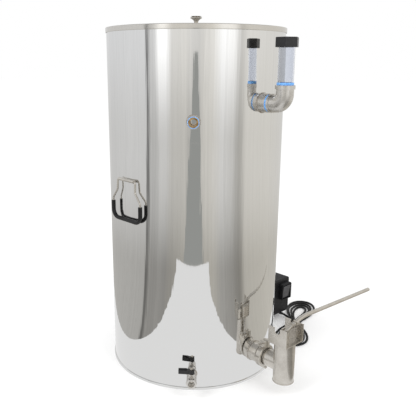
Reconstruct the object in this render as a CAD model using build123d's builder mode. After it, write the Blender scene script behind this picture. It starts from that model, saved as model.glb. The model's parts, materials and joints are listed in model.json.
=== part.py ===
from build123d import *
import os
from math import cos, pi, radians, sin, sqrt, tan

# Water-jacketed, electrically heated honey bottling tank, in millimetres.
# Row frame: origin at the centre of the base's underside, +Z up, and the
# honey gate towards -Y. An azimuth is measured from -Y towards +X.
os.makedirs("parts", exist_ok=True)

# --- tank -------------------------------------------------------------
SHELL_R = 280.0  # outer radius of the jacket's outer wall
SHEET = 2.0  # sheet thickness of shell, vessel, base and lid
RIM_Z = 1092.0  # top edge of both walls, under the rim ring
RIM_TOP = 1095.0  # top of the rim ring, where the lid rests
VESSEL_R = 250.0  # outer radius of the inner honey vessel
FLOOR_Z = 72.5  # vessel floor at its lowest point, by the outlet
FLOOR_SLOPE = 8.5  # degrees, the floor rises away from the outlet
BEAD_H = 9.0  # rolled bead round the foot of the shell
BEAD_OUT = 3.0  # how far the bead stands out of the shell
FOOT_R = 190.0  # pitch radius of the vessel's feet
FOOT_SIZE = 30.0

# --- lid --------------------------------------------------------------
LID_R = 282.4
LID_SKIRT = 15.0
KNOB_R = 18.6
KNOB_H = 37.4

# --- honey outlet, pipe clamp and gate ---------------------------------
OUTLET_Z = 97.0
PIPE_R = 25.4
PIPE_BORE_R = 23.9
WELD_RING_R = 31.0
WELD_RING_END = 309.0  # distance of the welded collar's face from the tank's axis
JOINT_Y = -322.5  # middle of the clamped joint
GASKET_T = 2.0
FLANGE_R = 32.0
FLANGE_T = 2.9
CLAMP_R = 36.5
CLAMP_GROOVE_R = 32.6  # bottom of the groove that holds the flanges
CLAMP_HALF_W = 9.5
CLAMP_GAP = 1.5  # half the gap between the two clamp halves
CLAMP_BOLT_Z = OUTLET_Z + 46.0
CLAMP_BOLT_R = 3.0
CLAMP_PIN_Z = OUTLET_Z - 39.2
CLAMP_PIN_R = 2.5
GATE_Y = -400.0
GATE_R = 32.5
GATE_BORE_R = 30.5
GATE_BOTTOM = 42.0
SEAT_H = 8.0
SEAT_BORE_R = 22.0
GATE_TOP = 174.0
NECK_R = 28.0
STEM_R = 5.0
STEM_CLEAR = 0.06

# --- gate bracket and lever ----------------------------------------------
BRACKET_T = 3.0
BRACKET_HALF_W = 42.0
BRACKET_FRONT = GATE_Y - 36.0
BRACKET_BACK = GATE_Y + 32.0
BRACKET_TOP = 230.0
NOTCH_R = 11.0
NOTCH_BOTTOM = 211.0
LEVER_R = 6.35
LEVER_CLEAR = 0.9
PIVOT_X = BRACKET_HALF_W - BRACKET_T / 2
PIVOT_Z = NOTCH_BOTTOM + LEVER_R + LEVER_CLEAR
LEVER_RISE = 15.5  # degrees, inner length of the lever
LEVER_DROOP = 2.9  # degrees, outer length of the lever
LEVER_BEND_X = 82.0
LEVER_TIP_X = 481.0
LEVER_BEND_R = 150.0
LINK_PIN_R = 3.0
LINK_Z = PIVOT_Z - PIVOT_X * tan(radians(LEVER_RISE))  # lever axis over the stem

# --- fill standpipe with its clear sight tube ----------------------------
SIGHT_Z = 883.0
SIGHT_AXIS_R = 357.0
SIGHT_PIPE_R = 22.9
SIGHT_BORE_R = 19.4
COUPLING_END = 304.0
SIGHT_BAND_TOP = 935.0
SIGHT_TOP = 1051.0
CAP_BOTTOM = 1036.0
CAP_TOP = 1062.5
CAP_FLATS = 58.5

# --- jacket port and jacket drain, on the camera-left quarter -------------
SIDE_AZ = -45.0
PORT_Z = 835.0
PORT_R = 18.5
PORT_THREAD_R = 16.4
PORT_SHANK_R = 14.5
PORT_HOLE_R = 9.5
DRAIN_Z = 56.0
DRAIN_BALL_RAD = 318.0  # distance of the ball's centre from the tank's axis
DRAIN_END = 342.0
DRAIN_BALL_R = 11.5
DRAIN_BORE_R = 7.0
DRAIN_THREAD_R = 10.4

# --- bail handles ---------------------------------------------------------
HANDLE_Z = 652.0
HANDLE_OFF = 285.6  # distance of the hinge axis from the tank's axis
HANDLE_TUBE_R = 4.8
HANDLE_TUBE_HALF = 37.0
WIRE_R = 3.0
GRIP_R = 6.3

# --- heater, control box and switch ----------------------------------------
HEATER_Z = 85.0
HEATER_THREAD_R = 17.0
BOX_X0 = 358.0
BOX_SPLIT = 446.0
BOX_X1 = 462.0
BOX_HALF = 68.0
BOX_Z0 = 25.0
BOX_Z1 = 168.0
BOX_WALL = 3.0
SWITCH_X0 = 396.0
SWITCH_X1 = 452.0
SWITCH_Z0 = 89.0
SWITCH_Z1 = 154.0
SWITCH_PROUD = 20.0
DIAL_Z = 105.0

# --- power cord --------------------------------------------------------------
CORD_R = 4.0
GLAND_X = 433.0
GLAND_Y = -38.0
GLAND_Z = 15.5
GLAND_END_Y = -62.0
WAIST = (420.5, -133.6)  # where the tie holds the hank
HANK_ANGLE = 30.3  # degrees from +X, the hank's long axis
HANK_H = 16.8
LEAD_END_Y = -95.0  # where the lead runs into the hank
LEAD_END_Z = 11.0
WAIST_START = 14.0  # half the straight stretch between the two lobes
# Lobes of the hank's outline and of its holes: length, width to the left and to the right.
NEAR_OUTER = (196.0, 53.0, 58.0)
NEAR_HOLE = (157.5, 18.9, 23.9)
FAR_OUTER = (224.0, 40.0, 64.0)
FAR_HOLE = (155.5, 6.3, 29.7)
OUTER_AT_WAIST = 20.8
HOLE_AT_WAIST = 4.0
PLUG_START = -38.0  # along the hank, where the plug's strain relief begins


def radial_plane(azimuth, radius, height):
    """Plane facing outwards from the tank's axis: local X runs sideways, local Y is up."""
    a = radians(azimuth)
    origin = (radius * sin(a), -radius * cos(a), height)
    return Plane(origin=origin, x_dir=(cos(a), sin(a), 0), z_dir=(sin(a), -cos(a), 0))


def keep(piece, name):
    """Label a finished piece and write its STEP file."""
    piece.part.label = name
    export_step(piece.part, f"parts/{name}.step")


# Tilted plane of the vessel floor's inner face, lowest by the outlet.
floor_plane = Plane(
    origin=(0, -(VESSEL_R - SHEET), FLOOR_Z),
    x_dir=(1, 0, 0),
    z_dir=(0, -sin(radians(FLOOR_SLOPE)), cos(radians(FLOOR_SLOPE))),
)

# Solid cylinder of the shell's outer face, used to trim what is welded to it.
with BuildPart() as shell_core:
    with BuildSketch():
        Circle(SHELL_R)
    extrude(amount=RIM_Z)

# =============================================================================
# Tank
# =============================================================================

# Holes through the jacket's outer wall: azimuth, height, radius.
SHELL_HOLES = (
    (0, OUTLET_Z, PIPE_R),
    (0, SIGHT_Z, SIGHT_BORE_R),
    (SIDE_AZ, PORT_Z, PORT_SHANK_R),
    (SIDE_AZ, DRAIN_Z, DRAIN_BORE_R),
    (90, HEATER_Z, HEATER_THREAD_R),
)

with BuildPart() as outer_shell:
    with BuildSketch(Plane.XZ):
        with Locations((SHELL_R - SHEET / 2, RIM_Z / 2)):
            Rectangle(SHEET, RIM_Z)
        with Locations((SHELL_R + BEAD_OUT / 2 - SHEET / 2, BEAD_H / 2)):
            RectangleRounded(BEAD_OUT + SHEET, BEAD_H, 2.2)
    revolve(axis=Axis.Z)
    for azimuth, height, radius in SHELL_HOLES:
        with BuildSketch(radial_plane(azimuth, SHELL_R - 20, height)):
            Circle(radius)
        extrude(amount=40, mode=Mode.SUBTRACT)
keep(outer_shell, "outer_shell")

with BuildPart() as base_plate:
    with BuildSketch():
        Circle(SHELL_R - SHEET)
    extrude(amount=SHEET)
keep(base_plate, "base_plate")

with BuildPart() as honey_space:
    with BuildSketch():
        Circle(VESSEL_R - SHEET)
    extrude(amount=RIM_Z + 1)
    split(bisect_by=floor_plane, keep=Keep.TOP)

with BuildPart() as inner_vessel:
    with BuildSketch():
        Circle(VESSEL_R)
    extrude(amount=RIM_Z)
    split(bisect_by=floor_plane.offset(-SHEET), keep=Keep.TOP)
    add(honey_space.part, mode=Mode.SUBTRACT)
    with BuildSketch(radial_plane(0, VESSEL_R - 3.5, OUTLET_Z)):
        Circle(PIPE_R)
    extrude(amount=20, mode=Mode.SUBTRACT)
keep(inner_vessel, "inner_vessel")

with BuildPart() as jacket_rim:
    with BuildSketch(Plane.XY.offset(RIM_Z)):
        Circle(SHELL_R)
        Circle(VESSEL_R - SHEET, mode=Mode.SUBTRACT)
    extrude(amount=RIM_TOP - RIM_Z)
    fillet(jacket_rim.edges().group_by(Axis.Z)[-1], 1.2)
keep(jacket_rim, "jacket_rim")

with BuildPart() as vessel_feet:
    with BuildSketch(Plane.XY.offset(SHEET)):
        with PolarLocations(FOOT_R, 4, start_angle=45):
            RectangleRounded(FOOT_SIZE, FOOT_SIZE, 4)
    extrude(amount=200)
    split(bisect_by=floor_plane.offset(-SHEET), keep=Keep.BOTTOM)
keep(vessel_feet, "vessel_feet")

# =============================================================================
# Lid
# =============================================================================

with BuildPart() as lid_disc:
    with BuildSketch(Plane.XY.offset(RIM_TOP + SHEET - LID_SKIRT)):
        Circle(LID_R)
    extrude(amount=LID_SKIRT)
    fillet(lid_disc.edges().group_by(Axis.Z)[-1], 3.5)
    offset(amount=-1.6, openings=lid_disc.faces().sort_by(Axis.Z)[0])
    with BuildSketch(Plane.XY.offset(RIM_TOP)):
        Circle(LID_R - 4)
    extrude(amount=1)
    with BuildSketch(Plane.XY.offset(RIM_TOP - 1)):
        Circle(3.2)
    extrude(amount=SHEET + 2, mode=Mode.SUBTRACT)
keep(lid_disc, "lid_disc")

LID_TOP = RIM_TOP + SHEET

with BuildPart() as lid_knob:
    with BuildSketch(Plane.XZ):
        with BuildLine():
            Polyline((3.2, LID_TOP), (9, LID_TOP), (9, LID_TOP + 2))
            Spline(
                (9, LID_TOP + 2),
                (6.2, LID_TOP + 8),
                (6.6, LID_TOP + 20),
                (KNOB_R - 1, LID_TOP + 31),
                tangents=((-0.5, 1), (1, 0.5)),
            )
            Spline(
                (KNOB_R - 1, LID_TOP + 31),
                (KNOB_R, LID_TOP + 32.6),
                (13, LID_TOP + 36),
                (0, LID_TOP + KNOB_H),
                tangents=((1, 0.5), (-1, 0)),
            )
            Polyline((0, LID_TOP + KNOB_H), (0, LID_TOP + 12), (3.2, LID_TOP + 12), (3.2, LID_TOP))
        make_face()
    revolve(axis=Axis.Z)
keep(lid_knob, "lid_knob")

with BuildPart() as knob_screw:
    with BuildSketch(Plane.XY.offset(RIM_TOP)):
        Circle(6)
    extrude(amount=-3)
    fillet(knob_screw.edges().group_by(Axis.Z)[0], 1.2)
    with BuildSketch(Plane.XY.offset(RIM_TOP)):
        Circle(3.2)
    extrude(amount=SHEET + 12)
    with BuildSketch(Plane.XY.offset(RIM_TOP - 3)):
        Rectangle(9, 1.2)
    extrude(amount=1.4, mode=Mode.SUBTRACT)
keep(knob_screw, "knob_screw")

# =============================================================================
# Honey outlet and pipe clamp
# =============================================================================

FLANGE_TAPER = 1.3
pipe_axis = Axis((0, 0, OUTLET_Z), (0, 1, 0))


def flange_outline(face_y, out):
    """Corner points (y, z) of a clamp flange whose sealing face is at face_y; out is its back's side."""
    return (
        (face_y, OUTLET_Z + PIPE_BORE_R),
        (face_y, OUTLET_Z + FLANGE_R),
        (face_y + out * (FLANGE_T - FLANGE_TAPER), OUTLET_Z + FLANGE_R),
        (face_y + out * (FLANGE_T + FLANGE_TAPER), OUTLET_Z + PIPE_R),
        (face_y + out * (FLANGE_T + 4), OUTLET_Z + PIPE_R),
        (face_y + out * (FLANGE_T + 4), OUTLET_Z + PIPE_BORE_R),
    )


with BuildPart() as outlet_pipe:
    with BuildSketch(radial_plane(0, SHELL_R - 6, OUTLET_Z)):
        Circle(WELD_RING_R)
    extrude(amount=WELD_RING_END - SHELL_R + 6)
    fillet(outlet_pipe.edges().group_by(Axis.Y)[0], 2.0)
    add(shell_core.part, mode=Mode.SUBTRACT)
    with BuildSketch(Plane.YZ):
        Polygon(*flange_outline(JOINT_Y + GASKET_T / 2, 1), align=None)
    revolve(axis=pipe_axis)
    with BuildSketch(radial_plane(0, VESSEL_R - SHEET, OUTLET_Z)):
        Circle(PIPE_R)
    extrude(amount=-JOINT_Y - GASKET_T / 2 - FLANGE_T - VESSEL_R + SHEET)
    with BuildSketch(radial_plane(0, VESSEL_R - 10, OUTLET_Z)):
        Circle(PIPE_BORE_R)
    extrude(amount=120, mode=Mode.SUBTRACT)
keep(outlet_pipe, "outlet_pipe")

with BuildPart() as clamp_gasket:
    with BuildSketch(radial_plane(0, -JOINT_Y - GASKET_T / 2, OUTLET_Z)):
        Circle(FLANGE_R)
        Circle(PIPE_BORE_R, mode=Mode.SUBTRACT)
    extrude(amount=GASKET_T)
keep(clamp_gasket, "clamp_gasket")

LUG_X = 13.5
LUG_FOOT = CLAMP_GROOVE_R + 0.4
LUG_TOP = CLAMP_BOLT_Z + 6.5
KNUCKLE_R = 5.5

for side, name in ((-1, "clamp_half_left"), (1, "clamp_half_right")):
    with BuildPart() as clamp_half:
        with BuildSketch(Plane.YZ):
            Polygon(
                (JOINT_Y - CLAMP_HALF_W, OUTLET_Z + 27.9),
                (JOINT_Y - CLAMP_HALF_W, OUTLET_Z + CLAMP_R - 2),
                (JOINT_Y - CLAMP_HALF_W + 2, OUTLET_Z + CLAMP_R),
                (JOINT_Y + CLAMP_HALF_W - 2, OUTLET_Z + CLAMP_R),
                (JOINT_Y + CLAMP_HALF_W, OUTLET_Z + CLAMP_R - 2),
                (JOINT_Y + CLAMP_HALF_W, OUTLET_Z + 27.9),
                (JOINT_Y + 5.4, OUTLET_Z + 27.9),
                (JOINT_Y + 4.0, OUTLET_Z + CLAMP_GROOVE_R),
                (JOINT_Y - 4.0, OUTLET_Z + CLAMP_GROOVE_R),
                (JOINT_Y - 5.4, OUTLET_Z + 27.9),
                align=None,
            )
        revolve(axis=pipe_axis)
        # lug for the bolt, above the ring
        with BuildSketch(Plane.XZ.offset(-JOINT_Y - CLAMP_HALF_W)):
            with Locations((side * (LUG_X + CLAMP_GAP) / 2, (OUTLET_Z + LUG_FOOT + LUG_TOP) / 2)):
                RectangleRounded(LUG_X - CLAMP_GAP, LUG_TOP - OUTLET_Z - LUG_FOOT, 2.5)
        extrude(amount=2 * CLAMP_HALF_W)
        with BuildSketch(Plane.YZ.offset(side * (CLAMP_GAP - 1))):
            with Locations((JOINT_Y, CLAMP_BOLT_Z)):
                Circle(CLAMP_BOLT_R + 0.2)
        extrude(amount=side * 20, mode=Mode.SUBTRACT)
        # keep this side of the joint only
        with BuildSketch(Plane.YZ.offset(side * CLAMP_GAP)):
            with Locations((JOINT_Y, OUTLET_Z)):
                Rectangle(40, 200)
        extrude(amount=-side * 60, mode=Mode.SUBTRACT)
        # room for the other half's hinge knuckle, then this half's own
        with BuildSketch(Plane.XZ.offset(-JOINT_Y - (CLAMP_HALF_W + 0.2) * (side < 0))):
            with Locations((0, CLAMP_PIN_Z)):
                Circle(KNUCKLE_R + 0.4)
        extrude(amount=CLAMP_HALF_W + 0.2, mode=Mode.SUBTRACT)
        with BuildSketch(Plane.XZ.offset(-JOINT_Y - CLAMP_HALF_W * (side > 0))):
            with Locations((0, CLAMP_PIN_Z)):
                Circle(KNUCKLE_R)
        extrude(amount=CLAMP_HALF_W - 0.2 * (side < 0))
        with BuildSketch(Plane.XZ.offset(-JOINT_Y - CLAMP_HALF_W - 1)):
            with Locations((0, CLAMP_PIN_Z)):
                Circle(CLAMP_PIN_R)
        extrude(amount=2 * CLAMP_HALF_W + 2, mode=Mode.SUBTRACT)
    keep(clamp_half, name)

with BuildPart() as clamp_pin:
    with BuildSketch(Plane.XZ.offset(-JOINT_Y - CLAMP_HALF_W - 1.5)):
        with Locations((0, CLAMP_PIN_Z)):
            Circle(CLAMP_PIN_R)
    extrude(amount=2 * CLAMP_HALF_W + 3)
    chamfer(clamp_pin.edges(), 0.6)
keep(clamp_pin, "clamp_pin")

with BuildPart() as clamp_bolt:
    with BuildSketch(Plane.YZ.offset(LUG_X)):
        with Locations((JOINT_Y, CLAMP_BOLT_Z)):
            RegularPolygon(radius=5, side_count=6, major_radius=False)
    extrude(amount=4.2)
    chamfer(clamp_bolt.edges().group_by(Axis.X)[-1], 0.6)
    with BuildSketch(Plane.YZ.offset(LUG_X)):
        with Locations((JOINT_Y, CLAMP_BOLT_Z)):
            Circle(CLAMP_BOLT_R)
    extrude(amount=-LUG_X - 32)
    chamfer(clamp_bolt.edges().group_by(Axis.X)[0], 0.8)
keep(clamp_bolt, "clamp_bolt")

NUT_X0 = -LUG_X - 0.4

with BuildPart() as wing_nut:
    with BuildSketch(Plane.YZ.offset(NUT_X0)):
        with Locations((JOINT_Y, CLAMP_BOLT_Z)):
            Circle(6.4)
    extrude(amount=-10, taper=6)
    for side in (-1, 1):
        with BuildSketch(Plane.XY.offset(CLAMP_BOLT_Z)):
            with BuildLine():
                Polyline(
                    (NUT_X0 - 0.6, JOINT_Y + side * 4),
                    (NUT_X0 - 7, JOINT_Y + side * 10),
                    (NUT_X0 - 12, JOINT_Y + side * 17.5),
                )
                Spline(
                    (NUT_X0 - 12, JOINT_Y + side * 17.5),
                    (NUT_X0 - 16.5, JOINT_Y + side * 17),
                    (NUT_X0 - 18, JOINT_Y + side * 12.5),
                )
                Polyline(
                    (NUT_X0 - 18, JOINT_Y + side * 12.5),
                    (NUT_X0 - 9.5, JOINT_Y + side * 4),
                    (NUT_X0 - 0.6, JOINT_Y + side * 4),
                )
            make_face()
        extrude(amount=1.7, both=True)
    with BuildSketch(Plane.YZ.offset(NUT_X0 + 1)):
        with Locations((JOINT_Y, CLAMP_BOLT_Z)):
            Circle(CLAMP_BOLT_R + 0.06)
    extrude(amount=-25, mode=Mode.SUBTRACT)
keep(wing_nut, "wing_nut")

# =============================================================================
# Gate: a lift valve in an upright tube
# =============================================================================

with BuildPart() as gate_body:
    with BuildSketch(Plane.XY.offset(GATE_BOTTOM + SEAT_H)):
        with Locations((0, GATE_Y)):
            Circle(GATE_R)
    extrude(amount=GATE_TOP - GATE_BOTTOM - SEAT_H)
    with BuildSketch(radial_plane(0, 345, OUTLET_Z)):
        Circle(NECK_R)
    extrude(amount=50)
    neck_edges = gate_body.edges().filter_by(lambda e: e.geom_type not in (GeomType.CIRCLE, GeomType.LINE))
    fillet(neck_edges, 2.5)
    with BuildSketch(Plane.YZ):
        Polygon(*flange_outline(JOINT_Y - GASKET_T / 2, -1), align=None)
    revolve(axis=pipe_axis)
    with BuildSketch(Plane.YZ):
        with BuildLine():
            Polyline((-345.5, OUTLET_Z), (-345.5, OUTLET_Z + NECK_R), (-345, OUTLET_Z + NECK_R))
            Spline(
                (-345, OUTLET_Z + NECK_R),
                (-340, OUTLET_Z + 27.1),
                (-335, OUTLET_Z + PIPE_R),
                tangents=((1, 0), (1, -0.25)),
            )
            Polyline((-335, OUTLET_Z + PIPE_R), (-330, OUTLET_Z + PIPE_R), (-330, OUTLET_Z), (-345.5, OUTLET_Z))
        make_face()
    revolve(axis=pipe_axis)
    with BuildSketch(radial_plane(0, 310, OUTLET_Z)):
        Circle(PIPE_BORE_R)
    extrude(amount=80, mode=Mode.SUBTRACT)
    with BuildSketch(Plane.XY.offset(GATE_BOTTOM)):
        with Locations((0, GATE_Y)):
            Circle(GATE_BORE_R)
    extrude(amount=GATE_TOP - BRACKET_T - GATE_BOTTOM, mode=Mode.SUBTRACT)
    with BuildSketch(Plane.XY.offset(GATE_TOP - 10)):
        with Locations((0, GATE_Y)):
            Circle(STEM_R + 1)
    extrude(amount=20, mode=Mode.SUBTRACT)
keep(gate_body, "gate_body")

with BuildPart() as gate_seat:
    with BuildSketch(Plane.XY.offset(GATE_BOTTOM)):
        with Locations((0, GATE_Y)):
            Circle(GATE_R)
            Circle(SEAT_BORE_R, mode=Mode.SUBTRACT)
    extrude(amount=SEAT_H)
    fillet(gate_seat.edges().group_by(Axis.Z)[0], 1.8)
keep(gate_seat, "gate_seat")

with BuildPart() as gate_bracket:
    with BuildSketch(Plane.XZ.offset(-BRACKET_BACK)):
        with Locations((0, (GATE_TOP + BRACKET_TOP) / 2)):
            Rectangle(2 * BRACKET_HALF_W, BRACKET_TOP - GATE_TOP)
        with Locations((0, (GATE_TOP + BRACKET_T + BRACKET_TOP + 1) / 2)):
            Rectangle(
                2 * (BRACKET_HALF_W - BRACKET_T),
                BRACKET_TOP + 1 - GATE_TOP - BRACKET_T,
                mode=Mode.SUBTRACT,
            )
    extrude(amount=BRACKET_BACK - BRACKET_FRONT)
    outer_bends = gate_bracket.edges().filter_by(Axis.Y).group_by(Axis.Z)[0]
    fillet(outer_bends, BRACKET_T)
    with BuildSketch(Plane.YZ.offset(-BRACKET_HALF_W - 1)):
        with Locations((GATE_Y, NOTCH_BOTTOM + NOTCH_R)):
            Circle(NOTCH_R)
        with Locations((GATE_Y, NOTCH_BOTTOM + NOTCH_R + 15)):
            Rectangle(2 * NOTCH_R, 30)
    extrude(amount=2 * BRACKET_HALF_W + 2, mode=Mode.SUBTRACT)
    with BuildSketch(Plane.XY.offset(GATE_TOP - 1)):
        with Locations((0, GATE_Y)):
            Circle(STEM_R + 1)
    extrude(amount=BRACKET_T + 2, mode=Mode.SUBTRACT)
keep(gate_bracket, "gate_bracket")

GUIDE_H = 9.0
GUIDE_Z = GATE_TOP + BRACKET_T

with BuildPart() as stem_guide:
    with BuildSketch(Plane.XY.offset(GUIDE_Z)):
        with Locations((0, GATE_Y)):
            RegularPolygon(radius=11, side_count=6, major_radius=False)
    extrude(amount=GUIDE_H)
    chamfer(stem_guide.edges().group_by(Axis.Z)[-1], 1)
    with BuildSketch(Plane.XY.offset(GATE_TOP - BRACKET_T)):
        with Locations((0, GATE_Y)):
            Circle(STEM_R + 1)
    extrude(amount=GUIDE_Z - GATE_TOP + BRACKET_T)
    with BuildSketch(Plane.XY.offset(GATE_TOP - 10)):
        with Locations((0, GATE_Y)):
            Circle(STEM_R + STEM_CLEAR)
    extrude(amount=40, mode=Mode.SUBTRACT)
keep(stem_guide, "stem_guide")

SEAL_T = 2.5
PLUNGER_Z = GATE_BOTTOM + SEAT_H + SEAL_T
PLUNGER_T = 5.5
PLUNGER_R = 27.5
HUB_TOP = PLUNGER_Z + PLUNGER_T + 5

with BuildPart() as gate_plunger:
    with BuildSketch(Plane.XY.offset(PLUNGER_Z)):
        with Locations((0, GATE_Y)):
            Circle(PLUNGER_R)
    extrude(amount=PLUNGER_T)
    fillet(gate_plunger.edges().group_by(Axis.Z)[-1], 1.5)
    with BuildSketch(Plane.XY.offset(PLUNGER_Z)):
        with Locations((0, GATE_Y)):
            Circle(9)
    extrude(amount=HUB_TOP - PLUNGER_Z)
    # a shallow spigot holds the seal from inside and guides it into the seat
    with BuildSketch(Plane.XY.offset(PLUNGER_Z)):
        with Locations((0, GATE_Y)):
            Circle(20)
    extrude(amount=-SEAL_T - 2, taper=10)
    with BuildSketch(Plane.XY.offset(PLUNGER_Z)):
        with Locations((0, GATE_Y)):
            Circle(STEM_R)
    extrude(amount=20, mode=Mode.SUBTRACT)
keep(gate_plunger, "gate_plunger")

with BuildPart() as plunger_seal:
    with BuildSketch(Plane.XY.offset(PLUNGER_Z - SEAL_T)):
        with Locations((0, GATE_Y)):
            Circle(26)
            Circle(20.2, mode=Mode.SUBTRACT)
    extrude(amount=SEAL_T)
keep(plunger_seal, "plunger_seal")

FORK_Z = GUIDE_Z + GUIDE_H + 1
FORK_FLOOR = FORK_Z + 7
FORK_TOP = LINK_Z + 8
FORK_GAP = 2 * LEVER_R + 0.7
FORK_W = FORK_GAP + 7

with BuildPart() as gate_stem:
    with BuildSketch(Plane.XY.offset(PLUNGER_Z)):
        with Locations((0, GATE_Y)):
            Circle(STEM_R)
    extrude(amount=FORK_Z + 1 - PLUNGER_Z)
    with BuildSketch(Plane.XY.offset(FORK_Z)):
        with Locations((0, GATE_Y)):
            RectangleRounded(16, FORK_W, 2)
    extrude(amount=FORK_TOP - FORK_Z)
    with BuildSketch(Plane.XY.offset(FORK_FLOOR)):
        with Locations((0, GATE_Y)):
            Rectangle(30, FORK_GAP)
    extrude(amount=60, mode=Mode.SUBTRACT)
    # the link pin slides a little in these slots as the lever swings
    with BuildSketch(Plane.XZ.offset(-GATE_Y - FORK_W)):
        with Locations((-0.6, LINK_Z)):
            SlotOverall(2 * LINK_PIN_R + 3, 2 * LINK_PIN_R + 0.7)
    extrude(amount=2 * FORK_W, mode=Mode.SUBTRACT)
keep(gate_stem, "gate_stem")

SPRING_R = 12.5
SPRING_WIRE_R = 1.1
SPRING_Z0 = PLUNGER_Z + PLUNGER_T + SPRING_WIRE_R + 0.2
SPRING_Z1 = GATE_TOP - BRACKET_T - SPRING_WIRE_R - 0.2
SPRING_TURNS = 8

with BuildPart() as gate_spring:
    with BuildLine() as coil:
        Helix(
            pitch=(SPRING_Z1 - SPRING_Z0) / SPRING_TURNS,
            height=SPRING_Z1 - SPRING_Z0,
            radius=SPRING_R,
            center=(0, GATE_Y, SPRING_Z0),
        )
    with BuildSketch(Plane(origin=coil.line @ 0, z_dir=coil.line % 0)):
        Circle(SPRING_WIRE_R)
    sweep()
keep(gate_spring, "gate_spring")

# Lever: a bent rod that rocks in the notch of the +X cheek.
rise = tan(radians(LEVER_RISE))
LEVER_BEND_Z = PIVOT_Z + (LEVER_BEND_X - PIVOT_X) * rise
LEVER_TIP_Z = LEVER_BEND_Z - (LEVER_TIP_X - LEVER_BEND_X) * tan(radians(LEVER_DROOP))
LEVER_INNER_X = -7.0
lever_start = (LEVER_INNER_X, GATE_Y, PIVOT_Z + (LEVER_INNER_X - PIVOT_X) * rise)

with BuildPart() as gate_lever:
    with BuildLine() as lever_path:
        FilletPolyline(
            lever_start,
            (LEVER_BEND_X, GATE_Y, LEVER_BEND_Z),
            (LEVER_TIP_X, GATE_Y, LEVER_TIP_Z),
            radius=LEVER_BEND_R,
        )
    with BuildSketch(Plane(origin=lever_path.line @ 0, z_dir=lever_path.line % 0)):
        Circle(LEVER_R)
    sweep()
    lever_ends = gate_lever.edges().filter_by(GeomType.CIRCLE).sort_by(Axis.X)
    fillet([lever_ends[0], lever_ends[-1]], 1.6)
    with BuildSketch(Plane.XZ.offset(-GATE_Y - 20)):
        with Locations((0, LINK_Z)):
            Circle(LINK_PIN_R)
    extrude(amount=40, mode=Mode.SUBTRACT)
keep(gate_lever, "gate_lever")

# Two collars on the rod keep it in its notch, and a pin links it to the stem's fork.
COLLAR_NEAR = 6.0
COLLAR_T = 4.0

with BuildPart() as lever_fixings:
    for side in (-1, 1):
        along = Vector(cos(radians(LEVER_RISE)), 0, sin(radians(LEVER_RISE))) * side
        seat = Vector(PIVOT_X, GATE_Y, PIVOT_Z) + along * COLLAR_NEAR
        with BuildSketch(Plane(origin=seat, z_dir=along)):
            Circle(LEVER_R + 3)
            Circle(LEVER_R, mode=Mode.SUBTRACT)
        extrude(amount=COLLAR_T)
    with BuildSketch(Plane.XZ.offset(-GATE_Y - FORK_W / 2 - 1.5)):
        with Locations((0, LINK_Z)):
            Circle(LINK_PIN_R)
    extrude(amount=FORK_W + 3)
keep(lever_fixings, "lever_fixings")

# =============================================================================
# Fill standpipe with sight tube
# =============================================================================

with BuildPart() as sight_coupling:
    with BuildSketch(radial_plane(0, SHELL_R - 6, SIGHT_Z)):
        Circle(27)
    extrude(amount=COUPLING_END - SHELL_R + 6)
    chamfer(sight_coupling.edges().group_by(Axis.Y)[0], 1.5)
    add(shell_core.part, mode=Mode.SUBTRACT)
    with BuildSketch(radial_plane(0, SHELL_R - 6, SIGHT_Z)):
        Circle(SIGHT_PIPE_R)
    extrude(amount=60, mode=Mode.SUBTRACT)
keep(sight_coupling, "sight_coupling")

SIGHT_Y = -SIGHT_AXIS_R
TAPE_W = 7.0
TUBE_SOCKET_Z = 915.0

with BuildPart() as sight_elbow:
    with BuildLine() as elbow_path:
        FilletPolyline(
            (0, -COUPLING_END - TAPE_W, SIGHT_Z),
            (0, SIGHT_Y, SIGHT_Z),
            (0, SIGHT_Y, SIGHT_BAND_TOP - 10),
            radius=27.5,
        )
    with BuildSketch(Plane.XZ.offset(COUPLING_END + TAPE_W)):
        with Locations((0, SIGHT_Z)):
            Circle(25)
    sweep()
    with BuildSketch(Plane.XZ.offset(COUPLING_END + TAPE_W)):
        with Locations((0, SIGHT_Z)):
            Circle(27)
    extrude(amount=7)
    with BuildSketch(Plane.XZ.offset(SHELL_R + 8)):
        with Locations((0, SIGHT_Z)):
            Circle(SIGHT_PIPE_R)
    extrude(amount=COUPLING_END + TAPE_W - SHELL_R - 8)
    with BuildSketch(Plane.XY.offset(SIGHT_BAND_TOP - 11)):
        with Locations((0, SIGHT_Y)):
            Circle(28.2)
    extrude(amount=11)
    fillet(sight_elbow.edges().filter_by(GeomType.CIRCLE).group_by(Axis.Z)[-1], 1.5)
    with BuildSketch(Plane.XZ.offset(COUPLING_END + TAPE_W)):
        with Locations((0, SIGHT_Z)):
            Circle(SIGHT_BORE_R)
    sweep(path=elbow_path.line, mode=Mode.SUBTRACT)
    with BuildSketch(Plane.XZ.offset(SHELL_R)):
        with Locations((0, SIGHT_Z)):
            Circle(SIGHT_BORE_R)
    extrude(amount=COUPLING_END + TAPE_W - SHELL_R, mode=Mode.SUBTRACT)
    with BuildSketch(Plane.XY.offset(TUBE_SOCKET_Z)):
        with Locations((0, SIGHT_Y)):
            Circle(SIGHT_PIPE_R)
    extrude(amount=40, mode=Mode.SUBTRACT)
keep(sight_elbow, "sight_elbow")

with BuildPart() as sight_tube:
    with BuildSketch(Plane.XY.offset(TUBE_SOCKET_Z)):
        with Locations((0, SIGHT_Y)):
            Circle(SIGHT_PIPE_R)
            Circle(SIGHT_BORE_R, mode=Mode.SUBTRACT)
    extrude(amount=SIGHT_TOP - TUBE_SOCKET_Z)
keep(sight_tube, "sight_tube")

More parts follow.
